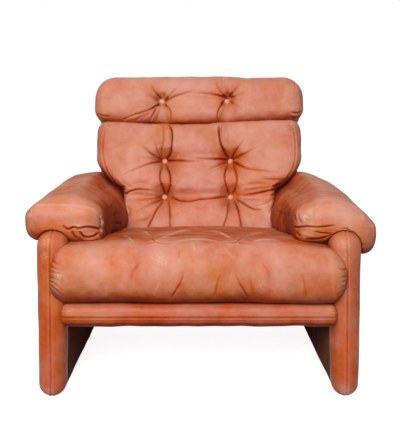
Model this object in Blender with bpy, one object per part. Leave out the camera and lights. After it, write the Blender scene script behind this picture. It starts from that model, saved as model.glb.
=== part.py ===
# A low lounge armchair in worn leather: two padded side panels, a padded seat platform, a loose seat
# cushion, a leaning tufted back with a headrest roll, and two soft pads saddled over the side panels.
# Metres, +Z up, the sitter faces -Y, and the origin is on the floor under the middle of the chair.

from math import cos, pi, radians, sin, tan

import bmesh
import bpy
from mathutils import Vector

# Clearances
TOUCH = 0.0003  # between pieces that bear on each other
HOLE_EASE = 0.0005  # around a shank in its hole

# Side panels
SIDE_FRONT = -0.400
SIDE_REAR = 0.372
SIDE_TOP = 0.476
SIDE_BOTTOM = 0.003
# Distances of a panel's faces from the middle of the chair: the panels stand a little apart at the floor
OUTER_TOP = 0.447
OUTER_BOTTOM = 0.4535
INNER_TOP = 0.3595
INNER_BOTTOM = 0.3765
FRONT_TOP_RADIUS = 0.052
FRONT_BOTTOM_RADIUS = 0.030
REAR_BOTTOM_RADIUS = 0.120
REAR_TOP_RADIUS = 0.070
BOARD_MIDDLE = 0.408
BOARD_THICK = 0.022
BOARD_MARGIN = 0.042  # from the panel's outline to the edge of the board
BOARD_RECESS = 0.012  # the board's foot above the floor

# Glides under the side panels
GLIDE_RADIUS = 0.015
GLIDE_PLACES = {"front": -0.300, "rear": 0.200}
GLIDE_FOOT_REACH = 0.030  # how far the board's foot runs past each glide
NAIL_RADIUS = 0.0018
NAIL_TIP = 0.030

# Seat platform
PLATFORM_TOP = 0.276
PLATFORM_BOTTOM = 0.212
PLATFORM_FRONT = -0.416
PLATFORM_LAP = 0.015  # how far the front roll laps over the side panels' rounded edges
PLATFORM_ROLL = 0.022
PLATFORM_FRONT_PAD = 0.030
PLATFORM_SIDE_PAD = 0.012
PLATFORM_REAR_PAD = 0.010
DECK_THICK = 0.009
RAIL_THICK = 0.026
STRAP_THICK = 0.0025
STRAP_WIDTH = 0.050
SEAT_STRAPS = 4
CLOTH_THICK = 0.0015

# Seat cushion
SEAT_FRONT = -0.443
SEAT_REAR = 0.112
SEAT_SPAN = 0.820  # across the front roll, which bulges past the panels
SEAT_THICK = 0.152
SEAT_ROLL = (0.052, 0.072, 0.066)
SEAT_CROWN = 0.018
SEAT_SAG = 0.045
SEAT_BUTTON_X = 0.121
SEAT_BUTTON_Y = -0.223
SEAT_DIMPLE = 0.020
SEAT_CREASE = 0.007
SEAT_GATHER = 0.006
GATHER_LEVELS = (-0.030, 0.002, 0.034)
GATHER_LENGTH = 0.075
GATHER_WIDTH = 0.016

# Back, in its own leaning frame: y = 0 is the face of its webbing and z runs up along it
BACK_LEAN = radians(17)
BACK_FOOT_Y = 0.196
BACK_FOOT_Z = 0.288
SHELL_BOTTOM = -0.072
BACK_TOP = 0.457  # up to the headrest's lower face
SHELL_THICK = 0.070
SHELL_ROLL = 0.022
SHELL_SIDE_PAD = 0.026
SHELL_FOOT_PAD = 0.012
FRAME_THICK = 0.022
UPRIGHT_WIDTH = 0.058
BACK_RAIL_HEIGHT = 0.046
TOP_RAIL_HEIGHT = 0.032
FOOT_STRAP = 0.080  # height of the lowest strap
CUSHION_THICK = 0.125
CUSHION_HALF_WIDTH = 0.361
CUSHION_WAIST = 0.262  # half width between the arm pads
CUSHION_CORE = 0.170  # half width of the middle, which keeps its width all the way down
CUSHION_FOOT = 0.004
CUSHION_ROLL = (0.044, 0.050, 0.040)
CUSHION_CROWN = 0.012
WING_START = 0.190  # where the cushion starts to widen over the arm pads
WING_RISE = 0.100

# Headrest
HEAD_HALF_WIDTH = 0.367
HEAD_HEIGHT = 0.168
HEAD_OVERHANG = 0.020  # in front of the back cushion
HEAD_ROLL = (0.046, 0.056, 0.046)
POCKET_RISE = 0.138  # how far the frame goes up into the headrest

# Tufting: buttons, dimples and the creases between them
BUTTON_RADIUS = 0.0085
BUTTON_HEIGHT = 0.006
BUTTON_SPACING = 0.228
BACK_DRIFT = -0.005  # the columns have shifted sideways with wear
HEAD_DRIFT = -0.016
LOW_ROW = 0.193
MID_ROW = 0.320
HEAD_ROW = 0.534
DIMPLE_DEPTH = 0.036
DIMPLE_WIDTH = 0.062
CREASE_DEPTH = 0.017
CREASE_WIDTH = 0.042
TIE_RADIUS = 0.0012
TOGGLE_RADIUS = 0.008
TOGGLE_THICK = 0.003

# Arm pads
ARM_INNER = 0.266
ARM_OUTER = 0.485
ARM_FRONT = -0.373
ARM_REAR = 0.287
ARM_TOP = 0.584
ARM_BOTTOM = 0.428
ARM_ROLL = (0.056, 0.056, 0.062)
ARM_INNER_DROP = 0.022
ARM_REAR_DROP = 0.012
PLEAT_DEPTH = 0.008
PLEAT_WIDTH = 0.022
PLEAT_LENGTH = 0.055
# How far each pad has slumped: down outside its panel, down along its outer top edge, and outwards
ARM_SLUMP = {"left": -0.010, "right": 0.034}
ARM_OUTER_DROP = {"left": 0.012, "right": 0.030}
ARM_SPREAD = {"left": 0.000, "right": 0.008}

# Bolts that join the sections
BOLT_RADIUS = 0.004
BOLT_HEAD_RADIUS = 0.0075
BOLT_HEAD_HEIGHT = 0.005
FLANGE_RADIUS = 0.009
FLANGE_THICK = 0.0015
NUT_SLEEVE_RADIUS = 0.0055
NUT_SLEEVE_LENGTH = 0.012
NUT_PLATE_RADIUS = 0.010
NUT_PLATE_THICK = 0.002
SEAT_BOLT_RISE = 0.032  # above the platform's bottom
SEAT_BOLT_INSET = 0.120  # from the ends of the side rails
BACK_BOLTS = {"low": 0.020, "high": 0.110}  # heights along the uprights

# Mesh fineness
SHARPEST = 0.004  # least radius of a corner that is drawn in
ROUND_STEPS = 3  # facets in each half of a rounded edge
BOLT_SIDES = 8
BUTTON_SIDES = 10
GLIDE_SIDES = 16
FEATURE_REACH = 0.021  # from a crease or a row of buttons to the grid lines beside it

SIDES = {"left": -1, "right": 1}


def side_faces(z):
    """Distances from the middle of the chair to a side panel's inner and outer faces at height z."""
    rise = (z - SIDE_BOTTOM) / (SIDE_TOP - SIDE_BOTTOM)
    inner = INNER_BOTTOM + rise * (INNER_TOP - INNER_BOTTOM)
    return inner, OUTER_BOTTOM + rise * (OUTER_TOP - OUTER_BOTTOM)


# Sizes that follow from the ones above
BOARD_INNER = BOARD_MIDDLE - BOARD_THICK / 2
BOARD_OUTER = BOARD_MIDDLE + BOARD_THICK / 2
PLATFORM_HALF = side_faces(PLATFORM_TOP)[0] - TOUCH
PLATFORM_REAR = BACK_FOOT_Y - (BACK_FOOT_Z - PLATFORM_BOTTOM) * tan(BACK_LEAN) - TOUCH
BAY_HALF = PLATFORM_HALF - PLATFORM_SIDE_PAD
BAY_FRONT = PLATFORM_FRONT + PLATFORM_FRONT_PAD
BAY_REAR = PLATFORM_REAR - PLATFORM_REAR_PAD
BAY_TOP = PLATFORM_TOP - DECK_THICK
RAIL_TOP = BAY_TOP - STRAP_THICK - 2 * TOUCH
RAIL_BOTTOM = PLATFORM_BOTTOM + CLOTH_THICK + TOUCH
RAIL_OUTER = BAY_HALF - TOUCH
RAIL_INNER = RAIL_OUTER - RAIL_THICK
RAIL_FRONT = BAY_FRONT + TOUCH
RAIL_REAR = BAY_REAR - TOUCH
SHELL_HALF = INNER_TOP - TOUCH
FRAME_HALF = SHELL_HALF - SHELL_SIDE_PAD - TOUCH
FRAME_FRONT = STRAP_THICK + 2 * TOUCH
FRAME_REAR = FRAME_FRONT + FRAME_THICK
FRAME_FOOT = SHELL_BOTTOM + SHELL_FOOT_PAD + TOUCH
UPRIGHT_INNER = FRAME_HALF - UPRIGHT_WIDTH
HEAD_BOTTOM = BACK_TOP + TOUCH
FRAME_TOP = HEAD_BOTTOM + POCKET_RISE
BACK_COLUMNS = (BACK_DRIFT - BUTTON_SPACING / 2, BACK_DRIFT + BUTTON_SPACING / 2)
HEAD_COLUMNS = (HEAD_DRIFT - BUTTON_SPACING / 2, HEAD_DRIFT + BUTTON_SPACING / 2)


def clear_scene():
    for obj in list(bpy.data.objects):
        bpy.data.objects.remove(obj)


def finish(name, colour, roughness, metallic=0.0):
    """A material with one colour."""
    material = bpy.data.materials.new(name)
    material.use_nodes = True
    shader = material.node_tree.nodes["Principled BSDF"]
    shader.inputs["Base Color"].default_value = (*colour, 1)
    shader.inputs["Roughness"].default_value = roughness
    shader.inputs["Metallic"].default_value = metallic
    return material


def new_object(name, mesh, parent):
    """An object made from a bmesh, which is freed."""
    bmesh.ops.recalc_face_normals(mesh, faces=mesh.faces)
    data = bpy.data.meshes.new(name)
    mesh.to_mesh(data)
    mesh.free()
    obj = bpy.data.objects.new(name, data)
    bpy.context.scene.collection.objects.link(obj)
    obj.parent = parent
    return obj


def add(name, mesh, material, parent=None):
    """A piece of the chair, shaded smooth except at its real edges."""
    obj = new_object(name, mesh, parent)
    obj.data.materials.append(material)
    obj.data.shade_smooth()
    obj.data.set_sharp_from_angle(angle=radians(40))
    return obj


def cutter(name, mesh, parent=None):
    """A helper that only cuts other pieces."""
    obj = new_object(name, mesh, parent)
    obj.hide_render = True
    obj.display_type = "WIRE"
    return obj


def grown(source, amount=TOUCH):
    """A helper a little larger than the source's own mesh all round, in the same place."""
    mesh = bmesh.new()
    mesh.from_mesh(source.data)
    mesh.normal_update()
    moved = [vert.co + vert.normal * amount for vert in mesh.verts]
    for vert, place in zip(mesh.verts, moved):
        vert.co = place
    return cutter(source.name + "_space", mesh, source.parent)


def cut(obj, *helpers):
    """Takes each helper's volume out of the object."""
    for helper in helpers:
        boolean = obj.modifiers.new("cut " + helper.name, "BOOLEAN")
        boolean.operation = "DIFFERENCE"
        boolean.object = helper


def block(low, high):
    """A plain rectangular block between two corners."""
    mesh = bmesh.new()
    bmesh.ops.create_cube(mesh, size=1)
    middle = (Vector(low) + Vector(high)) / 2
    size = Vector(high) - Vector(low)
    for vert in mesh.verts:
        vert.co = middle + vert.co * size
    return mesh


def prism(points, axis, low, high):
    """A straight prism along a world axis; the points give the places on the other two axes."""
    mesh = bmesh.new()
    rings = []
    for level in (low, high):
        places = [[*point[:axis], level, *point[axis:]] for point in points]
        rings.append([mesh.verts.new(place) for place in places])
    mesh.faces.new(rings[0])
    mesh.faces.new(rings[1])
    for i in range(len(points)):
        after = (i + 1) % len(points)
        mesh.faces.new([rings[0][i], rings[0][after], rings[1][after], rings[1][i]])
    return mesh


def flatten(mesh):
    """Joins faces that lie in one plane, then cuts every face into triangles."""
    bmesh.ops.dissolve_limit(mesh, angle_limit=radians(0.4), verts=mesh.verts, edges=mesh.edges)
    bmesh.ops.triangulate(mesh, faces=mesh.faces)
    return mesh


def turned(profile, base, axis, sides=BOLT_SIDES):
    """A solid turned about an axis. Its profile of (distance along, radius) points starts and ends on the
    axis, or is a closed loop away from it."""
    mesh = bmesh.new()
    along = Vector(axis).normalized()
    across = along.orthogonal().normalized()
    other = along.cross(across)
    rings = []
    for distance, radius in profile:
        centre = Vector(base) + along * distance
        turns = [2 * pi * i / sides for i in range(sides)] if radius else [0]
        rings.append([mesh.verts.new(centre + radius * (across * cos(a) + other * sin(a))) for a in turns])
    hollow = all(radius for distance, radius in profile)
    for lower, upper in zip(rings, rings[1:] + rings[:1] if hollow else rings[1:]):
        for i in range(sides):
            quad = [lower[i % len(lower)], lower[(i + 1) % len(lower)]]
            quad += [upper[(i + 1) % len(upper)], upper[i % len(upper)]]
            mesh.faces.new(list(dict.fromkeys(quad)))
    return mesh


def lean(y, z):
    """World y and z of a place in the back's leaning frame."""
    world_y = BACK_FOOT_Y + y * cos(BACK_LEAN) + z * sin(BACK_LEAN)
    return world_y, BACK_FOOT_Z - y * sin(BACK_LEAN) + z * cos(BACK_LEAN)


# Soft boxes
def axis_lines(half, radius, step, features, steps):
    """Grid lines along one axis of a soft box: even ones, closer ones at each feature and round the edges."""
    inner = half - radius
    close = {f + side * away for f in features for away in (0, FEATURE_REACH) for side in (-1, 1)}
    close = sorted(c for c in close if abs(c) < inner - step / 4)
    count = max(1, round(2 * inner / step))
    even = [inner * (2 * i / count - 1) for i in range(count + 1)]
    spaced = [e for e in even if abs(e) > inner - 1e-9 or all(abs(e - c) > step / 2 for c in close)]
    curved = [inner + radius * tan(pi / 4 * i / steps) for i in range(1, steps + 1)]
    return sorted([*spaced, *close, *curved, *(-c for c in curved)])


def box_grid(lines):
    """The closed surface of a box, with grid lines at the given places along each axis."""
    mesh = bmesh.new()
    made = {}

    def corner(place):
        if place not in made:
            made[place] = mesh.verts.new([axis[i] for axis, i in zip(lines, place)])
        return made[place]

    for axis in range(3):
        first, second = (axis + 1) % 3, (axis + 2) % 3
        for end in (0, len(lines[axis]) - 1):
            for i in range(len(lines[first]) - 1):
                for j in range(len(lines[second]) - 1):
                    quad = []
                    for a, b in ((i, j), (i + 1, j), (i + 1, j + 1), (i, j + 1)):
                        place = [0, 0, 0]
                        place[axis], place[first], place[second] = end, a, b
                        quad.append(corner(tuple(place)))
                    mesh.faces.new(quad)
    return mesh


def rounded(point, half, radius):
    """A point of a box's surface, moved onto the same box with rounded edges."""
    core = [max(r - h, min(h - r, p)) for p, h, r in zip(point, half, radius)]
    out = Vector((p - c) / r for p, c, r in zip(point, core, radius)).normalized()
    return Vector(c + r * o for c, r, o in zip(core, radius, out))


def soft_box(half, radius, step, features=((), (), ()), steps=ROUND_STEPS):
    """A box of foam with rounded edges, centred on the origin."""
    mesh = box_grid([axis_lines(*values, steps) for values in zip(half, radius, step, features)])
    for vert in mesh.verts:
        vert.co = rounded(vert.co, half, radius)
    return mesh


def bump(value, width):
    """1 at value 0, falling smoothly to 0 at width."""
    share = min(1.0, abs(value) / width)
    return (1 - share * share) ** 2


def stretch(start, end, value):
    """0 before start, 1 after end, and smooth in between."""
    share = max(0.0, min(1.0, (value - start) / (end - start)))
    return share * share * (3 - 2 * share)


def from_line(point, start, end):
    """Distance of a point from the straight line between two points."""
    start, run = Vector(start), Vector(end) - Vector(start)
    share = max(0.0, min(1.0, (Vector(point) - start).dot(run) / run.length_squared))
    return (Vector(point) - start - run * share).length


def drawn_in(point, creases, dimples=()):
    """How deep the leather is drawn in at a point of a face by its creases and its button dimples."""
    depths = [depth * bump(from_line(point, start, end), width) for start, end, depth, width in creases]
    depths += [depth * bump((Vector(point) - Vector(place)).length, width) for place, depth, width in dimples]
    return sum(depth**3 for depth in depths) ** (1 / 3)


# Side panels
def panel_outline(inset):
    """The side panel's outline seen from the side, drawn in by inset, as (y, z) points from the lower front."""
    corners = (
        (SIDE_FRONT, SIDE_BOTTOM, FRONT_BOTTOM_RADIUS, 180, 4),
        (SIDE_REAR, SIDE_BOTTOM, REAR_BOTTOM_RADIUS, 270, 5),
        (SIDE_REAR, SIDE_TOP, REAR_TOP_RADIUS, 0, 4),
        (SIDE_FRONT, SIDE_TOP, FRONT_TOP_RADIUS, 90, 4),
    )
    points = []
    for y, z, radius, start, steps in corners:
        away = max(radius, inset + SHARPEST)
        centre_y = y + (away if y == SIDE_FRONT else -away)
        centre_z = z + (away if z == SIDE_BOTTOM else -away)
        for i in range(steps + 1):
            turn = radians(start + 90 * i / steps)
            points.append((centre_y + (away - inset) * cos(turn), centre_z + (away - inset) * sin(turn)))
    return points


def panel_slab(side):
    """The padded panel's outer form: a slab with fully rounded edges, thinner towards the floor."""
    mesh = bmesh.new()
    loops = []
    steps = 2 * ROUND_STEPS + 2
    for i in range(steps + 1):
        turn = pi * i / steps
        loop = []
        for y, z in panel_outline((OUTER_BOTTOM - INNER_BOTTOM) / 2 * (1 - sin(turn))):
            inner, outer = side_faces(z)
            x = (outer + inner) / 2 + (outer - inner) / 2 * cos(turn)
            loop.append(mesh.verts.new((side * x, y, z)))
        loops.append(loop)
    for lower, upper in zip(loops, loops[1:]):
        for i in range(len(lower)):
            after = (i + 1) % len(lower)
            mesh.faces.new([lower[i], lower[after], upper[after], upper[i]])
    mesh.faces.new(loops[0])
    mesh.faces.new(loops[-1])
    return flatten(mesh)


def board_outline(ease, foot):
    """The board's outline: the panel's, drawn in, with a foot that runs down to the glides."""
    points = panel_outline(BOARD_MARGIN - ease)
    low = SIDE_BOTTOM + BOARD_MARGIN - ease
    toe = GLIDE_PLACES["front"] - GLIDE_FOOT_REACH - ease
    heel = GLIDE_PLACES["rear"] + GLIDE_FOOT_REACH + ease
    split = next(i for i, (y, z) in enumerate(points) if y > heel)
    return [*points[:split], (toe, low), (toe, foot), (heel, foot), (heel, low), *points[split:]]


def add_side(name, side, materials):
    """One side panel: its board and the padded cover around it. Both are open to the glides below."""
    ends = (side * BOARD_INNER, side * BOARD_OUTER)
    board = add(name + "_side_board", prism(board_outline(0, BOARD_RECESS), 0, *ends), materials["board"])
    cover = add(name + "_side_cover", panel_slab(side), materials["leather"])
    ends = (side * (BOARD_INNER - TOUCH), side * (BOARD_OUTER + TOUCH))
    space = prism(board_outline(TOUCH, -BOARD_RECESS), 0, *ends)
    cut(cover, cutter(name + "_board_space", space))
    return board, cover


def add_glides(boards, covers, materials):
    """Nail-on glides under the boards."""
    top = BOARD_RECESS - TOUCH
    glide = [(0, 0), (0, GLIDE_RADIUS), (top, GLIDE_RADIUS), (top, NAIL_RADIUS), (NAIL_TIP, NAIL_RADIUS), (NAIL_TIP, 0)]
    for (name, side), board, cover in zip(SIDES.items(), boards, covers):
        for end, y in GLIDE_PLACES.items():
            mesh = turned(glide, (side * BOARD_MIDDLE, y, 0), (0, 0, 1), GLIDE_SIDES)
            space = grown(add(f"{name}_{end}_glide", mesh, materials["nylon"]))
            cut(board, space)
            cut(cover, space)


# Buttons
def add_button(name, place, pull, anchor, materials, parent=None):
    """A covered button at a place, tied through the foam along pull to a toggle behind the anchor level.
    Returns the helper that makes room for it."""
    depth = anchor - Vector(place).dot(Vector(pull))
    profile = [(-BUTTON_HEIGHT, 0), (-BUTTON_HEIGHT * 0.85, BUTTON_RADIUS * 0.6)]
    profile += [(-BUTTON_HEIGHT / 2, BUTTON_RADIUS), (0, BUTTON_RADIUS), (0, TIE_RADIUS)]
    profile += [(depth, TIE_RADIUS), (depth, TOGGLE_RADIUS)]
    profile += [(depth + TOGGLE_THICK, TOGGLE_RADIUS), (depth + TOGGLE_THICK, 0)]
    return grown(add(name, turned(profile, place, pull, BUTTON_SIDES), materials["button"], parent))


# Seat
def add_platform(spaces, materials):
    """The padded platform with its webbing and its dust cloth."""
    depth, height = PLATFORM_REAR - PLATFORM_FRONT, PLATFORM_TOP - PLATFORM_BOTTOM
    half = (PLATFORM_HALF + PLATFORM_LAP, depth / 2, height / 2)
    mesh = soft_box(half, [PLATFORM_ROLL] * 3, [depth] * 3, steps=2)
    middle = Vector((0, (PLATFORM_REAR + PLATFORM_FRONT) / 2, (PLATFORM_TOP + PLATFORM_BOTTOM) / 2))
    for vert in mesh.verts:
        vert.co += middle
    cover = add("seat_platform", flatten(mesh), materials["leather"])
    bay = block((-BAY_HALF, BAY_FRONT, PLATFORM_BOTTOM - RAIL_THICK), (BAY_HALF, BAY_REAR, BAY_TOP))
    cut(cover, cutter("platform_bay", bay), *spaces)
    cloth = ((-RAIL_OUTER, RAIL_FRONT, PLATFORM_BOTTOM), (RAIL_OUTER, RAIL_REAR, RAIL_BOTTOM - TOUCH))
    add("underseat_cloth", block(*cloth), materials["cloth"])
    for i in range(SEAT_STRAPS):
        x = RAIL_INNER * (2 * (i + 0.5) / SEAT_STRAPS - 1)
        low = (x - STRAP_WIDTH / 2, RAIL_FRONT, RAIL_TOP + TOUCH)
        high = (x + STRAP_WIDTH / 2, RAIL_REAR, BAY_TOP - TOUCH)
        add(f"seat_strap_{i + 1}", block(low, high), materials["webbing"])
    return cover


def add_seat_frame(materials):
    """The wooden frame in the platform."""
    wood = materials["wood"]
    front, rear = RAIL_FRONT + RAIL_THICK, RAIL_REAR - RAIL_THICK
    add("seat_front_rail", block((-RAIL_OUTER, RAIL_FRONT, RAIL_BOTTOM), (RAIL_OUTER, front, RAIL_TOP)), wood)
    add("seat_rear_rail", block((-RAIL_OUTER, rear, RAIL_BOTTOM), (RAIL_OUTER, RAIL_REAR, RAIL_TOP)), wood)
    rails = []
    for name, side in SIDES.items():
        low, high = sorted((side * RAIL_INNER, side * RAIL_OUTER))
        rail = block((low, front + TOUCH, RAIL_BOTTOM), (high, rear - TOUCH, RAIL_TOP))
        rails.append(add(f"seat_{name}_rail", rail, wood))
    return rails


def seat_shape(half, middle, columns, row):
    """The seat cushion: a fat front roll, a crowned top that has sunk at the back, dimples and gathers."""
    mesh = soft_box(half, SEAT_ROLL, (0.075, 0.080, 0.090), (columns, (row,), ()))
    dimples = [((x, row), SEAT_DIMPLE, DIMPLE_WIDTH) for x in columns]
    creases = [((columns[0], row), (columns[1], row), SEAT_CREASE, CREASE_WIDTH)]
    gathers = []
    for side in SIDES.values():
        for z in GATHER_LEVELS:
            inner = side * (half[0] - GATHER_LENGTH)
            gathers.append(((side * half[0], z), (inner, z * 1.3), SEAT_GATHER, GATHER_WIDTH))
    for vert in mesh.verts:
        x, y, z = vert.co
        top = stretch(-0.2, 1, z / half[2])
        sag = SEAT_SAG * stretch(-0.6, 0.6, y / half[1])
        crown = SEAT_CROWN * (1 - (x / half[0]) ** 2)
        vert.co.z += top * (crown - sag - drawn_in((x, y), creases, dimples))
        vert.co.y += stretch(-0.3, -1, y / half[1]) * drawn_in((x, z), gathers)
        vert.co += middle
    return flatten(mesh)


def add_seat(spaces, materials):
    """The loose seat cushion with its two buttons."""
    half = (SEAT_SPAN / 2, (SEAT_REAR - SEAT_FRONT) / 2, SEAT_THICK / 2)
    underside = PLATFORM_TOP + TOUCH
    middle = Vector((0, (SEAT_REAR + SEAT_FRONT) / 2, underside + half[2]))
    columns, row = (-SEAT_BUTTON_X, SEAT_BUTTON_X), SEAT_BUTTON_Y - middle.y
    cushion = add("seat_cushion", seat_shape(half, middle, columns, row), materials["leather"])
    sunk = SEAT_CROWN * (1 - (SEAT_BUTTON_X / half[0]) ** 2) - SEAT_SAG * stretch(-0.6, 0.6, row / half[1])
    face = underside + SEAT_THICK + sunk - (SEAT_DIMPLE**3 + SEAT_CREASE**3) ** (1 / 3)
    anchor = -underside - TOGGLE_THICK
    for (name, side), x in zip(SIDES.items(), columns):
        cut(cushion, add_button(f"seat_button_{name}", (x, SEAT_BUTTON_Y, face), (0, 0, -1), anchor, materials))
    cut(cushion, *spaces)
    return cushion


# Back
def add_back_frame(parent, materials):
    """Uprights, rails and webbing of the back."""
    wood = materials["wood"]
    uprights = []
    for name, side in SIDES.items():
        low, high = sorted((side * UPRIGHT_INNER, side * FRAME_HALF))
        upright = block((low, FRAME_FRONT, FRAME_FOOT), (high, FRAME_REAR, FRAME_TOP))
        uprights.append(add(f"back_{name}_upright", upright, wood, parent))
    rails = {
        "bottom": (FRAME_FOOT, FRAME_FOOT + BACK_RAIL_HEIGHT),
        "middle": (BACK_TOP - BACK_RAIL_HEIGHT, BACK_TOP),
        "top": (FRAME_TOP - TOP_RAIL_HEIGHT, FRAME_TOP),
    }
    reach = UPRIGHT_INNER - TOUCH
    for name, (low, high) in rails.items():
        add(f"back_{name}_rail", block((-reach, FRAME_FRONT, low), (reach, FRAME_REAR, high)), wood, parent)
    levels = {"foot": FOOT_STRAP, "low": LOW_ROW, "mid": MID_ROW, "head": HEAD_ROW}
    straps = {}
    for name, level in levels.items():
        low = (-FRAME_HALF, TOUCH, level - STRAP_WIDTH / 2)
        high = (FRAME_HALF, TOUCH + STRAP_THICK, level + STRAP_WIDTH / 2)
        straps[name] = add(f"back_{name}_strap", block(low, high), materials["webbing"], parent)
    return uprights, straps


def add_shell(parent, materials):
    """The padded rear shell that the back frame sits in, open at the front and at the top."""
    half = (SHELL_HALF, SHELL_THICK / 2, (BACK_TOP - SHELL_BOTTOM) / 2)
    mesh = soft_box(half, [SHELL_ROLL] * 3, [SHELL_HALF] * 3, steps=2)
    for vert in mesh.verts:
        vert.co += Vector((0, SHELL_THICK / 2, (BACK_TOP + SHELL_BOTTOM) / 2))
    shell = add("back_shell", flatten(mesh), materials["leather"], parent)
    room, foot = FRAME_HALF + TOUCH, FRAME_FOOT - TOUCH
    bay = block((-room, -SHELL_THICK, foot), (room, FRAME_REAR + TOUCH, BACK_TOP + SHELL_THICK))
    cut(shell, cutter("shell_bay", bay, parent))
    return shell


def add_back_cushion(parent, materials):
    """The tufted back cushion: a wide pillow on a narrower foot that stands between the arm pads."""
    half = (CUSHION_HALF_WIDTH, CUSHION_THICK / 2, (BACK_TOP - CUSHION_FOOT) / 2)
    middle = Vector((0, -CUSHION_THICK / 2 - TOUCH, (BACK_TOP + CUSHION_FOOT) / 2))
    rows = (LOW_ROW - middle.z, MID_ROW - middle.z)
    mesh = soft_box(half, CUSHION_ROLL, (0.090, 0.080, 0.070), (BACK_COLUMNS, (), rows))
    left, right = BACK_COLUMNS
    dimples = [((x, row), DIMPLE_DEPTH, DIMPLE_WIDTH) for x in BACK_COLUMNS for row in rows]
    creases = [((-half[0], row), (half[0], row), CREASE_DEPTH, CREASE_WIDTH) for row in rows]
    creases += [((x, rows[0]), (x, half[2]), CREASE_DEPTH / 2, CREASE_WIDTH) for x in BACK_COLUMNS]
    narrow = (CUSHION_WAIST - CUSHION_CORE) / (CUSHION_HALF_WIDTH - CUSHION_CORE)
    for vert in mesh.verts:
        x, y, z = vert.co
        front = stretch(0, -1, y / half[1])
        crown = CUSHION_CROWN * (1 - (x / half[0]) ** 2)
        vert.co.y += front * (drawn_in((x, z), creases, dimples) - crown)
        wing = max(0.0, abs(x) - CUSHION_CORE)
        share = stretch(WING_START, WING_START + WING_RISE, z + middle.z)
        vert.co.x = (abs(x) - wing * (1 - narrow) * (1 - share)) * (1 if x > 0 else -1)
        vert.co += middle
    cushion = add("back_cushion", flatten(mesh), materials["leather"], parent)
    places = {}
    for row_name, row in zip(("low", "mid"), rows):
        for side_name, x in zip(SIDES, BACK_COLUMNS):
            crown = CUSHION_CROWN * (1 - (x / half[0]) ** 2)
            face = middle.y - half[1] - crown + drawn_in((x, row), creases, dimples)
            places[row_name, side_name] = (x, face, row + middle.z)
    return cushion, places


def add_headrest(parent, materials):
    """The headrest roll, which slips over the top of the back frame."""
    depth = CUSHION_THICK + HEAD_OVERHANG + SHELL_THICK
    half = (HEAD_HALF_WIDTH, depth / 2, HEAD_HEIGHT / 2)
    middle = Vector((0, SHELL_THICK - depth / 2, HEAD_BOTTOM + HEAD_HEIGHT / 2))
    row = HEAD_ROW - middle.z
    mesh = soft_box(half, HEAD_ROLL, (0.110, 0.110, 0.100), (HEAD_COLUMNS, (), (row,)))
    left, right = HEAD_COLUMNS
    dimples = [((x, row), DIMPLE_DEPTH, DIMPLE_WIDTH) for x in HEAD_COLUMNS]
    creases = [((left, row), (right, row), CREASE_DEPTH / 2, CREASE_WIDTH)]
    creases += [((x, row), (x, -half[2]), CREASE_DEPTH / 2, CREASE_WIDTH) for x in HEAD_COLUMNS]
    for vert in mesh.verts:
        x, y, z = vert.co
        vert.co.y += stretch(0, -1, y / half[1]) * drawn_in((x, z), creases, dimples)
        vert.co += middle
    headrest = add("headrest_cushion", flatten(mesh), materials["leather"], parent)
    room = FRAME_HALF + TOUCH
    pocket = block((-room, 0, BACK_TOP - SHELL_THICK), (room, FRAME_REAR + TOUCH, FRAME_TOP + TOUCH))
    cut(headrest, cutter("headrest_pocket", pocket, parent))
    face = middle.y - half[1]
    places = {}
    for side_name, x in zip(SIDES, HEAD_COLUMNS):
        places["head", side_name] = (x, face + drawn_in((x, row), creases, dimples), HEAD_ROW)
    return headrest, places


def add_back(materials):
    """The whole leaning back."""
    parent = bpy.data.objects.new("back_lean", None)
    bpy.context.scene.collection.objects.link(parent)
    parent.location = (0, BACK_FOOT_Y, BACK_FOOT_Z)
    parent.rotation_euler.x = -BACK_LEAN
    uprights, straps = add_back_frame(parent, materials)
    shell = add_shell(parent, materials)
    cushion, back_places = add_back_cushion(parent, materials)
    headrest, head_places = add_headrest(parent, materials)
    for (row, side), place in {**back_places, **head_places}.items():
        button = add_button(f"back_button_{row}_{side}", place, (0, 1, 0), FRAME_FRONT + TOUCH, materials, parent)
        cut(headrest if row == "head" else cushion, button)
        ease, level = TIE_RADIUS + HOLE_EASE, (place[0], 0, place[2])
        rod = turned([(-ease, 0), (-ease, ease), (FRAME_FRONT + ease, ease), (FRAME_FRONT + ease, 0)], level, (0, 1, 0))
        cut(straps[row], cutter(f"back_tie_hole_{row}_{side}", rod, parent))
    return uprights, shell, cushion


# Arm pads
def add_arm(name, side, spaces, materials):
    """A soft pad saddled over a side panel; its outer half has slumped."""
    half = ((ARM_OUTER - ARM_INNER) / 2, (ARM_REAR - ARM_FRONT) / 2, (ARM_TOP - ARM_BOTTOM) / 2)
    middle = Vector((side * (ARM_OUTER + ARM_INNER) / 2, (ARM_REAR + ARM_FRONT) / 2, (ARM_TOP + ARM_BOTTOM) / 2))
    mesh = soft_box(half, ARM_ROLL, (0.060, 0.120, 0.060))
    front = -half[1]
    pleats = [((x, front), (x * 0.8, front + PLEAT_LENGTH), PLEAT_DEPTH, PLEAT_WIDTH) for x in (-0.035, 0.030)]
    for vert in mesh.verts:
        x, y, z = vert.co
        out, up = side * x / half[0], z / half[2]
        vert.co.z -= ARM_SLUMP[name] * stretch(0.2, -1, up) * stretch(-0.2, 0.8, out)
        vert.co.z -= ARM_INNER_DROP * stretch(-0.2, 1, up) * stretch(0.3, -1, out)
        vert.co.z -= ARM_OUTER_DROP[name] * stretch(-0.2, 1, up) * stretch(-0.2, 1, out)
        vert.co.x += side * ARM_SPREAD[name] * stretch(0, 1, out)
        vert.co.z -= ARM_REAR_DROP * stretch(-0.2, 1, up) * stretch(-1, 1, y / half[1])
        vert.co.z -= stretch(-0.2, 0.6, up) * drawn_in((side * x, y), pleats)
        vert.co += middle
    cut(add(name + "_arm_pad", flatten(mesh), materials["leather"]), *spaces)


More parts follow.
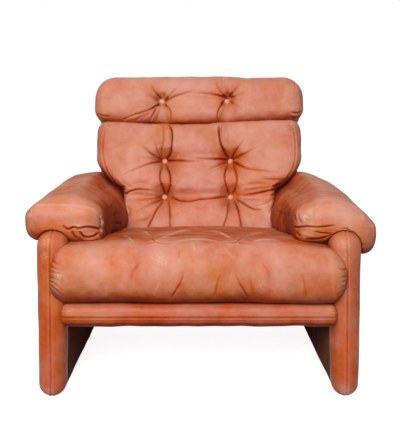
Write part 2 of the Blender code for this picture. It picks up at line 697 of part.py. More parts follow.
# Joining bolts
def lathe(name, profile, y, z, side, material=None):
    """A piece turned about a line along X at world y and z, or a cutter of that shape."""
    mesh = turned(profile, (0, y, z), (side, 0, 0))
    return add(name, mesh, material) if material else cutter(name, mesh)


def add_bolt(name, side, y, z, start, board, cover, holders, materials):
    """A flanged bolt along X from start, its distance from the middle of the chair, out through the holders
    and the cover into a T-nut in the board."""
    steel = materials["steel"]
    hole = BOLT_RADIUS + HOLE_EASE
    nut_inner, nut_outer = BOARD_OUTER - NUT_SLEEVE_LENGTH, BOARD_OUTER + TOUCH
    end = nut_outer + NUT_PLATE_THICK
    flange = start - TOUCH - FLANGE_THICK
    head = flange - BOLT_HEAD_HEIGHT
    bolt = [(head, 0), (head, BOLT_HEAD_RADIUS), (flange, BOLT_HEAD_RADIUS), (flange, FLANGE_RADIUS)]
    bolt += [(start - TOUCH, FLANGE_RADIUS), (start - TOUCH, BOLT_RADIUS), (end, BOLT_RADIUS), (end, 0)]
    lathe(name + "_bolt", bolt, y, z, side, steel)
    nut = [(nut_inner, hole), (nut_inner, NUT_SLEEVE_RADIUS), (nut_outer, NUT_SLEEVE_RADIUS)]
    nut += [(nut_outer, NUT_PLATE_RADIUS), (end, NUT_PLATE_RADIUS), (end, hole)]
    lathe(name + "_t_nut", nut, y, z, side, steel)
    shank = lathe(name + "_hole", [(head, 0), (head, hole), (end, hole), (end, 0)], y, z, side)
    wide, inner = NUT_SLEEVE_RADIUS + HOLE_EASE, nut_inner - TOUCH
    sleeve = lathe(name + "_sleeve_hole", [(inner, 0), (inner, wide), (end, wide), (end, 0)], y, z, side)
    wide, outer = NUT_PLATE_RADIUS + HOLE_EASE, end + TOUCH
    plate = [(BOARD_OUTER, 0), (BOARD_OUTER, wide), (outer, wide), (outer, 0)]
    cut(board, shank, sleeve)
    cut(cover, shank, lathe(name + "_plate_space", plate, y, z, side))
    for holder in holders:
        cut(holder, shank)


def make_materials():
    leather = (0.56, 0.205, 0.135)
    return {
        "leather": finish("worn_leather", leather, 0.45),
        "button": finish("button_leather", (0.66, 0.27, 0.19), 0.5),
        "board": finish("particle_board", (0.42, 0.29, 0.17), 0.85),
        "wood": finish("beech_wood", (0.52, 0.34, 0.19), 0.7),
        "webbing": finish("jute_webbing", (0.33, 0.24, 0.15), 0.9),
        "cloth": finish("dust_cloth", (0.02, 0.019, 0.018), 0.95),
        "nylon": finish("dark_nylon", (0.03, 0.028, 0.026), 0.5),
        "steel": finish("zinc_steel", (0.55, 0.55, 0.53), 0.4, 1.0),
    }


def build_armchair():
    clear_scene()
    materials = make_materials()
    sides = {name: add_side(name, side, materials) for name, side in SIDES.items()}
    boards = [board for board, cover in sides.values()]
    covers = [cover for board, cover in sides.values()]
    add_glides(boards, covers, materials)
    panels = {name: grown(cover) for name, (board, cover) in sides.items()}
    platform = add_platform(panels.values(), materials)
    rails = add_seat_frame(materials)
    uprights, shell, back_cushion = add_back(materials)
    back_space, shell_space = grown(back_cushion), grown(shell)
    seat_cushion = add_seat([*panels.values(), back_space], materials)
    seat_space = grown(seat_cushion)
    for name, side in SIDES.items():
        add_arm(name, side, [panels[name], seat_space, back_space, shell_space], materials)
    z = PLATFORM_BOTTOM + SEAT_BOLT_RISE
    seat_bolts = {"front": (RAIL_FRONT + SEAT_BOLT_INSET, z), "rear": (RAIL_REAR - SEAT_BOLT_INSET, z)}
    back_bolts = {end: lean((FRAME_FRONT + FRAME_REAR) / 2, height) for end, height in BACK_BOLTS.items()}
    for (name, side), rail, upright in zip(SIDES.items(), rails, uprights):
        board, cover = sides[name]
        for end, place in seat_bolts.items():
            add_bolt(f"seat_{name}_{end}", side, *place, RAIL_INNER, board, cover, [rail, platform], materials)
        for end, place in back_bolts.items():
            add_bolt(f"back_{name}_{end}", side, *place, UPRIGHT_INNER, board, cover, [upright, shell], materials)


build_armchair()
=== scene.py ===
from math import cos, pi, radians, sin

import bpy
import numpy as np
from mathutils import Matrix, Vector
from mathutils.bvhtree import BVHTree


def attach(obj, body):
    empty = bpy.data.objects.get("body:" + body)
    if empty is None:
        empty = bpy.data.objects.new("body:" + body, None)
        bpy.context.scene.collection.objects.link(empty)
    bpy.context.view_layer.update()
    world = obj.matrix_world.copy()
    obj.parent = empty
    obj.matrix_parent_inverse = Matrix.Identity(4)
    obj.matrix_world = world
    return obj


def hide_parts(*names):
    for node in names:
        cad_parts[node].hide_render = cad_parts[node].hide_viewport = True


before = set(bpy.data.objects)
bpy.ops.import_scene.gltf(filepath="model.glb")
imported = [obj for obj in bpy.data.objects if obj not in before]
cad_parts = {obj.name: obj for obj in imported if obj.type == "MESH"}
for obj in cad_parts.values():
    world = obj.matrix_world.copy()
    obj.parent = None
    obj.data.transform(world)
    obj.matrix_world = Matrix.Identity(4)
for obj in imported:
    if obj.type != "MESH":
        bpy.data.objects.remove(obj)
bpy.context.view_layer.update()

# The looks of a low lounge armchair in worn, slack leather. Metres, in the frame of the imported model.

# Camera. Folds are written as places in its 400 x 427 frame, and pressed into the leather behind them
FRAME_MIDDLE = np.array((200, 213.5))
FOCAL = 715.0  # in the frame's units
SENSOR = 36.0
FRAME_HEIGHT = 427
CAMERA = np.array((0.003, -2.304, 0.810))
PITCH = radians(8.43)
FORWARD = np.array((0, cos(PITCH), -sin(PITCH)))
DOWN = np.array((0, -sin(PITCH), -cos(PITCH)))
KEY_LAMP_WAY = np.array((0, -0.86, 0.50))  # about the way to the key lamp; leather facing it gets no painted shade and is the most faded

# Sizes shared with the imported model
SIDES = {"left": -1, "right": 1}
CLEAR = 0.0006  # between pieces that bear on each other
BUTTON_RISE = 0.0056  # of a button's tip above the leather under it
SIDE_FRONT, SIDE_REAR = -0.400, 0.372
SIDE_TOP, SIDE_BOTTOM = 0.476, 0.003
OUTER_TOP, OUTER_BOTTOM = 0.447, 0.4535
INNER_TOP, INNER_BOTTOM = 0.3595, 0.3765
PANEL_CORNERS = {"front_bottom": 0.030, "rear_bottom": 0.120, "rear_top": 0.070, "front_top": 0.052}
PLATFORM_TOP, PLATFORM_BOTTOM = 0.276, 0.212
PLATFORM_FRONT, PLATFORM_REAR = -0.416, 0.172
PLATFORM_HALF = 0.3814
SEAT_MIDDLE = np.array((0, -0.1655, 0.3523))
SEAT_HALF = np.array((0.410, 0.2775, 0.076))
SEAT_ROLL = (0.052, 0.072, 0.066)
SEAT_BUTTONS = ((-0.121, -0.223), (0.121, -0.223))
BACK_LEAN = radians(17)
BACK_FOOT = np.array((0, 0.196, 0.288))
BACK_TOP, SHELL_BOTTOM, SHELL_THICK = 0.457, -0.072, 0.070
CUSHION_HALF = np.array((0.361, 0.0625, 0.2265))
CUSHION_MIDDLE = np.array((0, -0.0628, 0.2305))
CUSHION_ROLL = (0.044, 0.050, 0.040)
CUSHION_CORE, CUSHION_WAIST = 0.170, 0.265
WING_START, WING_RISE = 0.225, 0.120
BACK_COLUMNS, HEAD_COLUMNS = (-0.119, 0.109), (-0.130, 0.098)
LOW_ROW, MID_ROW, HEAD_ROW = 0.193, 0.320, 0.534
HEAD_HALF = np.array((0.367, 0.1075, 0.084))
HEAD_MIDDLE = np.array((0, -0.0375, 0.5413))
HEAD_ROLL = (0.046, 0.056, 0.046)
ARM_HALF = np.array((0.1095, 0.330, 0.078))
ARM_MIDDLE = np.array((0.3755, -0.043, 0.506))
ARM_ROLLS = {"left": (0.056, 0.056, 0.062), "right": (0.084, 0.060, 0.074)}
ARM_SLUMP = {"left": -0.010, "right": 0.010}
ARM_OUTER_FALL = {"left": 0.000, "right": 0.030}
ARM_OUTER_DROP = {"left": 0.016, "right": 0.006}
ARM_OUTER_ROUND = {"left": 0.005, "right": 0.010}
ARM_SPREAD = {"left": 0.002, "right": 0.015}
ARM_TONE = {"left": 0.06, "right": 0.01}

# Folds: places in the frame, depth in millimetres (a negative depth is a ridge), width in the frame's units,
# and where the fold is strongest. Depth also sets a fold's painted shade and a ridge's painted highlight
HEAD_PLACES = ((162, 102.6), (226.6, 99.8))
BACK_PLACES = ((163.8, 162.1), (230.2, 160.9), (165.7, 197.3), (230.7, 197.3))
HEAD_FOLDS = [
    ([(165, 100.8), (176, 96.4), (188, 92.7), (198, 91.3)], 6, 1.3, "start"),
    ([(190.6, 94.2), (202.4, 93.5), (214, 94.9), (223, 97.1), (226, 98.6)], 5, 1.2, "end"),
    ([(161.3, 99.3), (155.4, 92), (148.5, 80)], 4, 1.1, "start"),
    ([(163.5, 99), (165.5, 93), (166, 86)], 2.2, 1.0, "start"),
    ([(167, 98.6), (176, 89), (184, 78)], 4, 1.1, "start"),
    ([(158.3, 100.8), (149.5, 95.7), (140.7, 92.7)], 3, 1.3, "start"),
    ([(159.5, 104.5), (148, 110.3), (133.4, 115.5), (119.5, 121.3)], 6, 1.1, "start"),
    ([(158.3, 106.7), (153.9, 114), (149.5, 121.3)], 2.5, 1.0, "both"),
    ([(160.5, 108.1), (158.3, 115.5), (156.9, 121.3)], 2.5, 1.0, "both"),
    ([(153.9, 108.1), (146.6, 115.5), (140.7, 120.6)], 2.5, 1.0, "both"),
    ([(150, 112), (141, 117), (134, 121.5)], 2, 1.0, "both"),
    ([(164.9, 104.5), (169.3, 109.6), (170.4, 116.9), (169.3, 125)], 5, 1.2, "start"),
    ([(223.6, 102.3), (219.2, 109.6), (217.8, 116.9), (219.2, 125)], 6, 1.2, "start"),
    ([(221.4, 105.2), (219.7, 114), (221.4, 124.3)], 2, 0.9, "both"),
    ([(225.1, 97.1), (220, 90.5), (214, 78)], 3.4, 1.1, "start"),
    ([(227.2, 96.4), (227.6, 89), (226.6, 84)], 1.6, 1.0, "start"),
    ([(229.5, 97.1), (233.2, 92), (241.5, 82)], 4.2, 1.1, "start"),
    ([(230.2, 98.6), (240.5, 94.2), (250, 90.5)], 2.6, 1.1, "start"),
    ([(230.2, 102.3), (237.6, 106.7), (246, 113.5)], 2.8, 1.2, "start"),
    ([(290.4, 112.5), (296, 113.5), (301, 112.5)], 4, 1.2, "both"),
    ([(289, 117), (295, 118), (301, 117)], 3, 1.1, "both"),
    ([(99, 114), (104, 116.5), (110, 116.5)], 3, 1.2, "both"),
    ([(107.5, 84), (103.5, 92), (102, 104), (103.5, 117)], -1.6, 1.2, "even"),
    ([(295.5, 84), (298, 94), (298.6, 104), (297, 116)], -1.6, 1.2, "even"),
]
BACK_FOLDS = [
    # Upper pillow
    ([(169.3, 125), (171.5, 131.6), (171.5, 143.3), (170, 153.6), (165, 160.2)], 7.5, 1.0, "even"),
    ([(163.5, 126.5), (163.8, 140.4), (161.5, 152.1), (163.5, 159.5)], 3, 0.9, "even"),
    ([(219.2, 125), (219.2, 133), (221.4, 144.8), (225.8, 153.6), (229.5, 158.7)], 8, 1.0, "even"),
    ([(222.2, 124), (222, 134), (223.5, 143)], 3, 0.8, "start"),
    ([(166.4, 160.2), (178.9, 160.6), (190.6, 161.2), (204, 160.3)], 7.5, 1.0, "start"),
    ([(186.5, 156.8), (202.4, 158.6), (217, 158.9), (228, 159.3)], 7.5, 1.0, "end"),
    ([(161.3, 158.7), (151, 153.6), (138.5, 142.5)], 7, 1.1, "start"),
    ([(160.5, 157), (156.9, 148), (154.7, 138.9)], 4, 1.3, "start"),
    ([(161.3, 160.9), (148.1, 163.9), (133.4, 169.7), (121, 175.9)], 7, 1.1, "start"),
    ([(159.8, 159.8), (149.5, 158.5), (140.7, 158)], 4, 1.3, "start"),
    ([(231.7, 158), (237.6, 147.7), (245.5, 138)], 6.5, 1.1, "start"),
    ([(233.2, 158.7), (244.9, 153.6), (257, 147.5)], 6, 1.1, "start"),
    ([(233.2, 161.7), (247.8, 168.3), (264, 170.5), (279, 173.5)], 7, 1.1, "start"),
    ([(227.3, 161.7), (217, 165.4), (207.5, 170.8)], 4, 1.0, "start"),
    ([(162, 164), (160.1, 177.1), (162.7, 187.4), (165.4, 194.7)], 5.5, 0.85, "even"),
    ([(166.4, 164), (170.1, 177.1), (169.4, 187.4), (166.6, 194.7)], 5.5, 0.85, "even"),
    ([(228, 163), (225.1, 175.6), (226.6, 185.9), (229.5, 194.7)], 5.5, 0.85, "even"),
    ([(233.2, 163), (236.8, 177.1), (235.4, 187.4), (232.1, 194.7)], 5, 0.85, "even"),
    ([(132, 184), (140, 181.5), (150, 183)], 3, 2.0, "both"),
    ([(240, 186), (254, 183.5), (268, 184)], 3, 1.8, "both"),
    ([(262, 178), (272, 179.5), (284, 179.5)], 4, 1.5, "both"),
    ([(120, 178), (126, 184), (134, 187)], 2.5, 1.6, "both"),
    # The crease under the pillow, from side to side through the lower buttons
    ([(118, 189.5), (122, 192.5), (126.4, 193.9), (131, 191.5), (137, 189.9), (145, 189.9), (153.5, 191.5), (158, 192.5)],
     6, 1.2, "start"),
    ([(171, 197), (180.1, 200), (188.6, 200.8), (200.7, 198.8), (216.5, 197.6), (227.4, 195.8)], 7, 1.0, "even"),
    ([(235.3, 194.5), (244.3, 195.4), (255.2, 194.3), (266.2, 191.9), (277, 189.4), (286, 186)], 5, 1.2, "both"),
    ([(131.7, 194.5), (145, 195.3), (153.5, 195.6), (161.5, 196)], 3.5, 1.1, "end"),
    ([(131, 197.9), (140, 198.8), (152.3, 198), (160.7, 197.2)], 4.5, 1.2, "end"),
    ([(119, 187.5), (127.4, 186.7), (134, 188)], 2, 1.2, "both"),
    ([(245.6, 190.3), (260, 188.2), (276, 186.7)], 2.5, 1.2, "both"),
    # Lower section
    ([(162.3, 198.8), (146.8, 206), (132.3, 213.9)], 5, 1.2, "start"),
    ([(163.2, 200), (155.3, 212.7), (147.4, 229)], 5, 0.9, "even"),
    ([(168, 200), (169.8, 212.7), (170.4, 230)], 5, 0.9, "even"),
    ([(228.6, 200), (227.4, 215), (222.5, 229)], 4.5, 0.9, "even"),
    ([(234, 200), (238.9, 212.7), (242, 230)], 5.5, 0.9, "even"),
    ([(236.5, 198.8), (245.6, 204.8), (254, 209), (263, 210)], 6, 1.0, "even"),
    ([(238.3, 198), (250.4, 199.2), (262.5, 198.6)], 2.5, 1.1, "both"),
    ([(253.4, 206), (261.3, 204.8), (267.4, 201.8), (273.4, 197)], 4, 1.2, "both"),
    ([(268, 216), (272, 208), (275, 201)], 3, 1.4, "both"),
    ([(126, 206), (130, 211), (128, 218)], 3, 1.6, "both"),
    ([(136, 222), (146, 219), (152, 214)], 2.5, 1.6, "both"),
    ([(126.2, 198), (126.4, 206), (126.2, 214)], -1.5, 1.0, "even"),
    # Gusset seams down the pillow's sides
    ([(103.5, 128), (101.2, 140), (101, 156), (105, 172), (113, 184), (120, 190)], -3, 0.9, "even"),
    ([(295, 127), (297, 140), (297.4, 156), (294.5, 170), (287, 181), (280, 187)], -3, 0.9, "even"),
    ([(105.3, 129), (103, 140), (102.8, 156), (107, 171), (114.5, 182)], 2.2, 0.7, "even"),
    ([(293.4, 128), (295.3, 140), (295.6, 156), (292.6, 169), (286, 179)], 2.2, 0.7, "even"),
    # Puckered corners
    ([(104.5, 127.5), (107.5, 125), (109.5, 127.5)], 3, 0.9, "both"),
    ([(288, 124), (291.5, 126.5), (294.8, 124.5)], 3.5, 0.9, "both"),
    ([(288.5, 128), (292, 129.5), (295.5, 128)], 2.5, 0.9, "both"),
    ([(117, 186), (121, 189), (126, 189.5)], 3.5, 1.1, "both"),
    ([(272, 187), (277, 185.5), (281, 183)], 2.4, 1.0, "both"),
    ([(269, 196.5), (274, 195), (277, 193)], 2.4, 0.9, "both"),
    ([(268, 200.5), (273, 199.5), (277, 197.5)], 2.4, 0.9, "both"),
]
SEAT_FOLDS = [
    ([(183.5, 271.8), (181.6, 280.8), (175.3, 292.2), (171.4, 298)], 3.5, 1.2, "both"),
    ([(192.5, 241.2), (193.5, 245.5), (195.2, 250.2)], -1.9, 0.9, "both"),
    ([(222.4, 243.8), (227, 250), (233.9, 259.1)], -1.9, 0.9, "both"),
    ([(159.9, 280.8), (157, 288), (153.6, 297)], -2.2, 1.0, "both"),
    ([(137, 281), (136, 290), (135.7, 297)], -1.9, 0.9, "both"),
    ([(219.9, 274.4), (217.5, 285), (214.8, 297)], 2.6, 1.2, "both"),
    ([(235.2, 274.4), (241, 286), (248, 298.6)], 2.9, 1.2, "both"),
    ([(249, 274), (251.5, 286), (253, 297)], 2.2, 1.1, "both"),
    ([(106, 284), (106.5, 291), (106, 298)], -1.6, 0.9, "both"),
    ([(176, 262), (179, 252), (177, 245)], 1.9, 1.4, "both"),
    ([(262, 262), (268, 272), (271, 285)], 1.9, 1.6, "both"),
    ([(302, 274), (305, 286), (306, 298)], 2.1, 1.3, "both"),
    ([(140, 262), (133, 272), (131, 284)], 1.9, 1.7, "both"),
    # Gathers at the ends of the roll
    ([(49, 266), (57, 269.3), (66, 270.4)], 3.1, 0.8, "start"),
    ([(49, 271.5), (58, 273.6), (65, 274.8)], 2.8, 0.8, "start"),
    ([(49, 277), (56, 279.5), (63, 283)], 2.8, 0.8, "start"),
    ([(49.5, 281), (56, 285), (63, 291)], 2.8, 0.8, "start"),
    ([(50.5, 285.5), (57, 291), (64, 297)], 2.4, 0.8, "start"),
    ([(51, 260), (57, 264), (64, 265)], 2.5, 1.2, "start"),
    ([(350, 264), (344, 270), (337, 265.5)], 3.1, 0.8, "both"),
    ([(350, 276.5), (344, 277), (337, 278)], 2.8, 0.8, "start"),
    ([(350, 281), (344, 281.8), (338, 283)], 2.8, 0.8, "start"),
    ([(350, 284.5), (344, 286.5), (338, 289.5)], 2.8, 0.8, "start"),
    ([(349.5, 288), (343.5, 291.5), (337, 295)], 2.8, 0.8, "start"),
    ([(347, 294), (341, 298), (335, 301)], 3, 1.1, "start"),
    ([(331.5, 252), (333.5, 270), (333.5, 290), (336, 302)], -1.0, 1.0, "even"),
]
SEAT_TOP_FOLDS = [
    # Ridges with painted highlight where the slack top stands up round the two dimples
    ([(156.5, 240.6), (168, 235.7), (182.5, 230.9), (200.7, 229.9), (217.7, 232.1), (227.4, 236.4), (235, 240.6)], -9, 1.0, "even"),
    ([(172.9, 241.8), (192.2, 239.4), (208, 239.8), (221.3, 242.6)], -6, 0.8, "both"),
    ([(122, 236), (127.5, 237), (134, 241.8)], -6, 0.8, "both"),
    ([(126, 232), (141.4, 230.9), (149.8, 234.5), (153.5, 240.2)], -6, 0.8, "both"),
    ([(239.5, 240.6), (250.4, 234.5), (262.5, 233.3), (273, 236)], -6, 0.8, "both"),
    ([(250, 243), (258, 240), (268.6, 239.4), (280.7, 240.6)], -6, 0.8, "both"),
    ([(145, 243), (150, 242.4), (155, 241.8)], 4, 0.7, "end"),
    ([(155.7, 241.8), (164, 243), (172, 242.6)], 4, 0.7, "start"),
    ([(149, 236.8), (152.5, 239), (155.5, 241.6)], 5, 0.7, "end"),
    ([(228, 242.6), (233, 242.2), (238, 241.6)], 4, 0.7, "end"),
    ([(238, 241.6), (246, 243), (254, 243.5)], 4, 0.7, "start"),
    ([(238, 241.2), (241.5, 238), (247, 235.5)], 4, 0.7, "start"),
]
ARM_FOLDS = {
    "left": [
        ([(27, 207), (39, 205.2), (56.4, 204.8), (73, 205.4), (84.6, 206.8), (93, 209), (99.5, 213.5), (103, 220)],
         -3.0, 1.4, "even"),
        ([(80.5, 183.6), (91.3, 187.4), (101.2, 192.3), (107.8, 198.1), (111.2, 204.8)], -2.2, 1.1, "both"),
        ([(97, 184.9), (105.4, 191.5), (110.3, 197.3)], -1.8, 0.9, "both"),
        ([(111.2, 192.3), (115.3, 199), (115.7, 206.4), (113.2, 213.1), (110.3, 217.2)], -2.2, 1.1, "both"),
        ([(63, 226.3), (68, 229.5), (74, 227.5), (79, 228.8), (88.8, 227.3), (102, 229.7)], 6, 1.1, "even"),
        ([(78.8, 231.3), (84.6, 237.6), (92.9, 237), (98.5, 233.5)], 5, 1.2, "even"),
        ([(71.5, 230.5), (73.5, 235), (76, 239)], 4, 1.3, "both"),
        ([(72, 224.8), (77, 226), (82, 224.6)], -3, 1.4, "both"),
        ([(105.4, 226.3), (112, 223.2), (121, 223.9)], 5, 1.2, "even"),
        ([(104, 230.8), (111, 231.5), (119, 229)], 4, 1.2, "both"),
        ([(110.3, 217.2), (116, 214), (121, 214)], 4, 1.2, "both"),
        ([(99.5, 214), (101, 222), (100.5, 231), (102, 239)], 2.5, 1.1, "both"),
        ([(103.5, 216), (104.5, 223), (103.5, 229)], -2.0, 1.0, "both"),
        ([(30, 209), (27.5, 212.5), (27, 217)], 2.5, 1.2, "both"),
        ([(50, 217), (60, 215), (72, 216)], -1.5, 3.0, "both"),
    ],
    "right": [
        ([(288.2, 225.5), (296.5, 227.6), (306.4, 226.8), (318, 227.6), (326.3, 226.8), (334, 225.9)], 5, 1.0, "even"),
        ([(313, 231.3), (321.4, 233.4), (331.3, 233.8)], 3.4, 1.0, "both"),
        ([(304.8, 239.6), (318, 239.4), (326.3, 237.1), (332.3, 234)], 3.8, 1.0, "both"),
        ([(341.3, 230.1), (346.2, 228.8), (351.2, 232.1), (357.2, 233)], 3.4, 1.1, "both"),
        ([(320.4, 244.8), (326.3, 241.7)], 3, 1.0, "both"),
        ([(277.4, 210.6), (283.2, 213.9), (289.5, 215.6)], 5, 1.1, "even"),
        ([(285.7, 203), (289, 211.1), (288.6, 218), (291, 224)], 4, 1.2, "even"),
        ([(279.9, 233), (285.7, 223.8)], -2.0, 0.9, "both"),
        ([(291.5, 203.1), (294.8, 195.7), (301.5, 189), (309.8, 184)], -2.2, 1.0, "both"),
        ([(286.5, 202.3), (289, 195.7), (294.8, 189), (299.8, 184.9)], -2.0, 0.9, "both"),
        ([(312, 184.8), (321, 184), (330.5, 186.5)], 1.6, 0.9, "both"),
        ([(311, 190.6), (323, 192.3), (333, 191.5)], 1.8, 1.0, "both"),
        ([(318, 197), (331, 195.5), (343, 197.5)], 1.6, 1.1, "both"),
        ([(320, 203), (334, 202), (347, 205)], 1.4, 1.1, "both"),
        ([(298, 213), (299, 219), (302, 224)], 1.8, 1.1, "both"),
        ([(294, 209), (294.5, 216), (296.5, 222)], 1.8, 1.1, "both"),
        ([(304, 219.5), (305.5, 213), (312, 208.5), (320, 206.5)], -2.4, 1.4, "both"),
        ([(297.0, 233.2), (298.4, 235), (300, 236)], 5, 1.0, "even"),
        ([(301, 233), (312, 236), (322, 236)], -2.5, 1.6, "both"),
        ([(372.5, 222), (374, 232), (371.5, 242)], -1.5, 1.4, "both"),
    ],
}
PANEL_FOLDS = {
    "left": [
        ([(40, 247), (44.5, 249.3), (49, 248.5)], 2.5, 0.9, "both"),
        ([(41, 251.5), (45.5, 253.8), (50, 252.6)], 2.2, 0.9, "both"),
        ([(40, 256.5), (44, 258), (48.5, 257.2)], 1.8, 0.9, "both"),
        ([(43, 262), (47, 263.2), (50.5, 262.4)], 1.4, 0.9, "both"),
    ],
    "right": [
        ([(338.5, 252), (344.3, 254.3), (350, 252.3)], 3, 0.9, "both"),
        ([(343, 256), (348, 256.6), (352.5, 255.2)], 2.4, 0.9, "both"),
        ([(345.5, 261), (349, 262.5), (353, 261.5)], 2.0, 0.9, "both"),
        ([(346, 267), (350, 268), (354, 267)], 1.4, 0.9, "both"),
    ],
}
RAIL_FOLDS = [
    ([(59, 308), (64, 309.5), (70, 309.5)], 2.2, 0.8, "start"),
    ([(59, 313), (65, 313.8), (72, 313.4)], 2.4, 0.8, "start"),
    ([(60, 318), (67, 318.4), (78, 318)], 1.6, 0.8, "start"),
    ([(63, 306), (62.5, 314), (64.5, 323)], -1.2, 0.9, "both"),
    ([(337, 308), (331, 308.8), (325, 308.6)], 2.2, 0.8, "start"),
    ([(337, 311.5), (330, 312), (322, 311.6)], 2.0, 0.8, "start"),
    ([(337, 315), (331, 315), (324, 314.4)], 2.0, 0.8, "start"),
    ([(333, 306), (334, 314), (332, 323)], -1.2, 0.9, "both"),
]
# Along the front rail: height, reach, and how far the leather stands out or how deep its tone is. The tones darken
# the two seams, and add a painted highlight band along the top and painted shade along the bottom
RAIL_SEAMS = ((0.2420, 0.0018, -0.0016), (0.2480, 0.0035, 0.0014), (0.2370, 0.0025, 0.0008), (0.2330, 0.0014, -0.0007))
RAIL_SEAMS_HIGHLIGHT_AND_SHADE = ((0.2420, 0.0018, 0.26), (0.2330, 0.0014, 0.12), (0.2590, 0.0080, -0.18), (0.2210, 0.0110, 0.58))
# Where the leather has rubbed pale: places in the frame, reach in the frame's units, and strength
SCUFFS = {
    "left_arm_pad": [((102.3, 222), 3.0, 1.0), ((100.5, 216), 2.0, 0.7), ((101, 231), 2.5, 0.7),
                     ((99, 238), 1.8, 0.5), ((28.5, 215), 2.2, 0.8), ((31, 209), 2.0, 0.5)],
    "right_arm_pad": [((305, 218), 3.0, 0.8), ((310, 212), 3.4, 0.45), ((304, 236), 3.5, 0.3),
                      ((363, 217), 2.6, 0.5), ((373.5, 226), 2.2, 0.5)],
    "seat_cushion": [((160, 258), 9, 0.25), ((262, 285), 5, 0.3), ((58, 276), 4, 0.4), ((345, 284), 4, 0.3)],
    "back_cushion": [((263, 206), 4.5, 0.55), ((268, 213), 4.0, 0.5), ((271, 203), 2.6, 0.4), ((127, 210), 2.6, 0.5), ((121.5, 192), 2.2, 0.6), ((107, 126), 1.8, 0.4), ((292, 125), 2.0, 0.5)],
    "left_side_cover": [((46, 240), 5, 0.35), ((45, 256), 3, 0.4), ((50, 395), 6, 0.55)],
    "right_side_cover": [((345, 243), 6, 0.3), ((345, 256), 4, 0.35), ((345, 393), 6, 0.55)],
    "headrest_cushion": [],
    "seat_platform": [((70, 311), 4, 0.25), ((330, 311), 4, 0.25)],
}

# Leather tones, as sRGB, from the pale tone of the crowns, which also stands in for painted sheen, to the deep tone of
# painted shade
TONES = {
    "body": ((0.0, (225, 153, 129)), (0.24, (212, 132, 103)), (0.46, (197, 101, 60)), (0.70, (154, 56, 20)), (1.0, (92, 22, 6))),
    "panel": ((0.0, (206, 114, 84)), (0.26, (190, 88, 52)), (0.50, (166, 64, 30)), (0.72, (118, 38, 14)), (1.0, (60, 14, 6))),
    "lining": ((0.0, (172, 112, 98)), (0.4, (156, 98, 84)), (1.0, (104, 60, 50))),
    "button": ((0.0, (240, 176, 148)), (0.5, (222, 146, 112)), (1.0, (150, 74, 46))),
}
PALE = (240, 210, 176)


def linear(colour):
    """An sRGB colour of three values up to 255, as linear light with an alpha."""
    shares = [value / 255 for value in colour]
    return (*[s / 12.92 if s <= 0.04045 else ((s + 0.055) / 1.055) ** 2.4 for s in shares], 1)


# Soft boxes
def axis_lines(half, radius, step):
    """Grid lines along one axis of a soft box, evenly spaced over the flat and round the edges."""
    inner = half - radius
    flat = np.linspace(-inner, inner, max(2, round(2 * inner / step)) + 1)
    count = max(3, round(radius * pi / 4 / step))
    curved = inner + radius * np.tan(pi / 4 * np.arange(1, count + 1) / count)
    return np.concatenate([-curved[::-1], flat, curved])


def soft_box(half, radius, step):
    """Points and quads of a closed box with rounded edges, centred on the origin."""
    lines = [axis_lines(h, r, step) for h, r in zip(half, radius)]
    shape = tuple(len(line) for line in lines)
    surface = np.ones(shape, bool)
    surface[1:-1, 1:-1, 1:-1] = False
    index = np.full(shape, -1)
    index[surface] = np.arange(surface.sum())
    places = np.argwhere(surface)
    points = np.stack([line[places[:, axis]] for axis, line in enumerate(lines)], 1)
    quads = []
    for axis in range(3):
        for end in (0, -1):
            sheet = np.take(index, end, axis)
            quad = np.stack([sheet[:-1, :-1], sheet[1:, :-1], sheet[1:, 1:], sheet[:-1, 1:]], -1).reshape(-1, 4)
            quads.append(quad[:, ::-1] if (end == 0) != (axis == 1) else quad)
    core = np.clip(points, radius - np.array(half), np.array(half) - radius)
    out = (points - core) / radius
    out /= np.linalg.norm(out, axis=1, keepdims=True)
    return core + out * radius, np.vstack(quads)


def squared(points, half, roll, ends, power=4):
    """Squares one rolled edge of a soft box. ends gives, for the two axes across the edge, which end it is at."""
    points = points.copy()
    over = [np.maximum(0, (end * points[:, axis] - half[axis] + roll[axis]) / roll[axis]) for axis, end in ends.items()]
    edge = (over[0] > 0) & (over[1] > 0)
    first, second = over[0][edge], over[1][edge]
    fuller = np.hypot(first, second) / (first**power + second**power) ** (1 / power)
    for (axis, end), share in zip(ends.items(), (first, second)):
        points[edge, axis] = end * (half[axis] - roll[axis] + roll[axis] * share * fuller)
    return points


def normals(points, faces):
    """Each point's outward direction. The faces are all quads, or all triangles."""
    across = points[faces[:, 2]] - points[faces[:, 0]]
    face = np.cross(across, points[faces[:, -1]] - points[faces[:, 1]])
    total = np.zeros_like(points)
    for corner in faces.T:
        for axis in range(3):
            total[:, axis] += np.bincount(corner, face[:, axis], len(points))
    return total / np.maximum(np.linalg.norm(total, axis=1, keepdims=True), 1e-12)


def ramp(start, end, value):
    """0 before start, 1 after end, and smooth in between."""
    share = np.clip((value - start) / (end - start), 0, 1)
    return share * share * (3 - 2 * share)


def bump(distance, width):
    """1 at distance 0, falling smoothly to 0 at width."""
    share = np.minimum(1, distance / width)
    return (1 - share * share) ** 2


def from_line(places, start, end):
    """Distance of each place from the straight line between two points."""
    start, run = np.array(start), np.array(end) - np.array(start)
    share = np.clip((places - start) @ run / (run @ run), 0, 1)
    return np.linalg.norm(places - start - share[:, None] * run, axis=1)


def drawn_in(places, creases, dimples):
    """How deep a face is drawn in by its creases and its button dimples."""
    depths = [depth * bump(from_line(places, start, end), width) for start, end, depth, width in creases]
    for place, depth, width in dimples:
        away = np.linalg.norm(places - np.array(place), axis=1)
        depths.append(depth * (0.50 * bump(away, width) + 0.50 * bump(away, width * 0.50)))
    return np.cbrt(sum(depth**3 for depth in depths))


def slack(points, amount, size, seed):
    """Gentle random waves in slack leather, about size across and amount high."""
    chance = np.random.default_rng(seed)
    total = np.zeros(len(points))
    for _ in range(14):
        turn = chance.normal(size=3)
        turn *= 2 * pi / (size * chance.uniform(0.7, 1.8)) / np.linalg.norm(turn)
        total += np.sin(points @ turn + chance.uniform(0, 2 * pi))
    return amount * total / 14**0.5


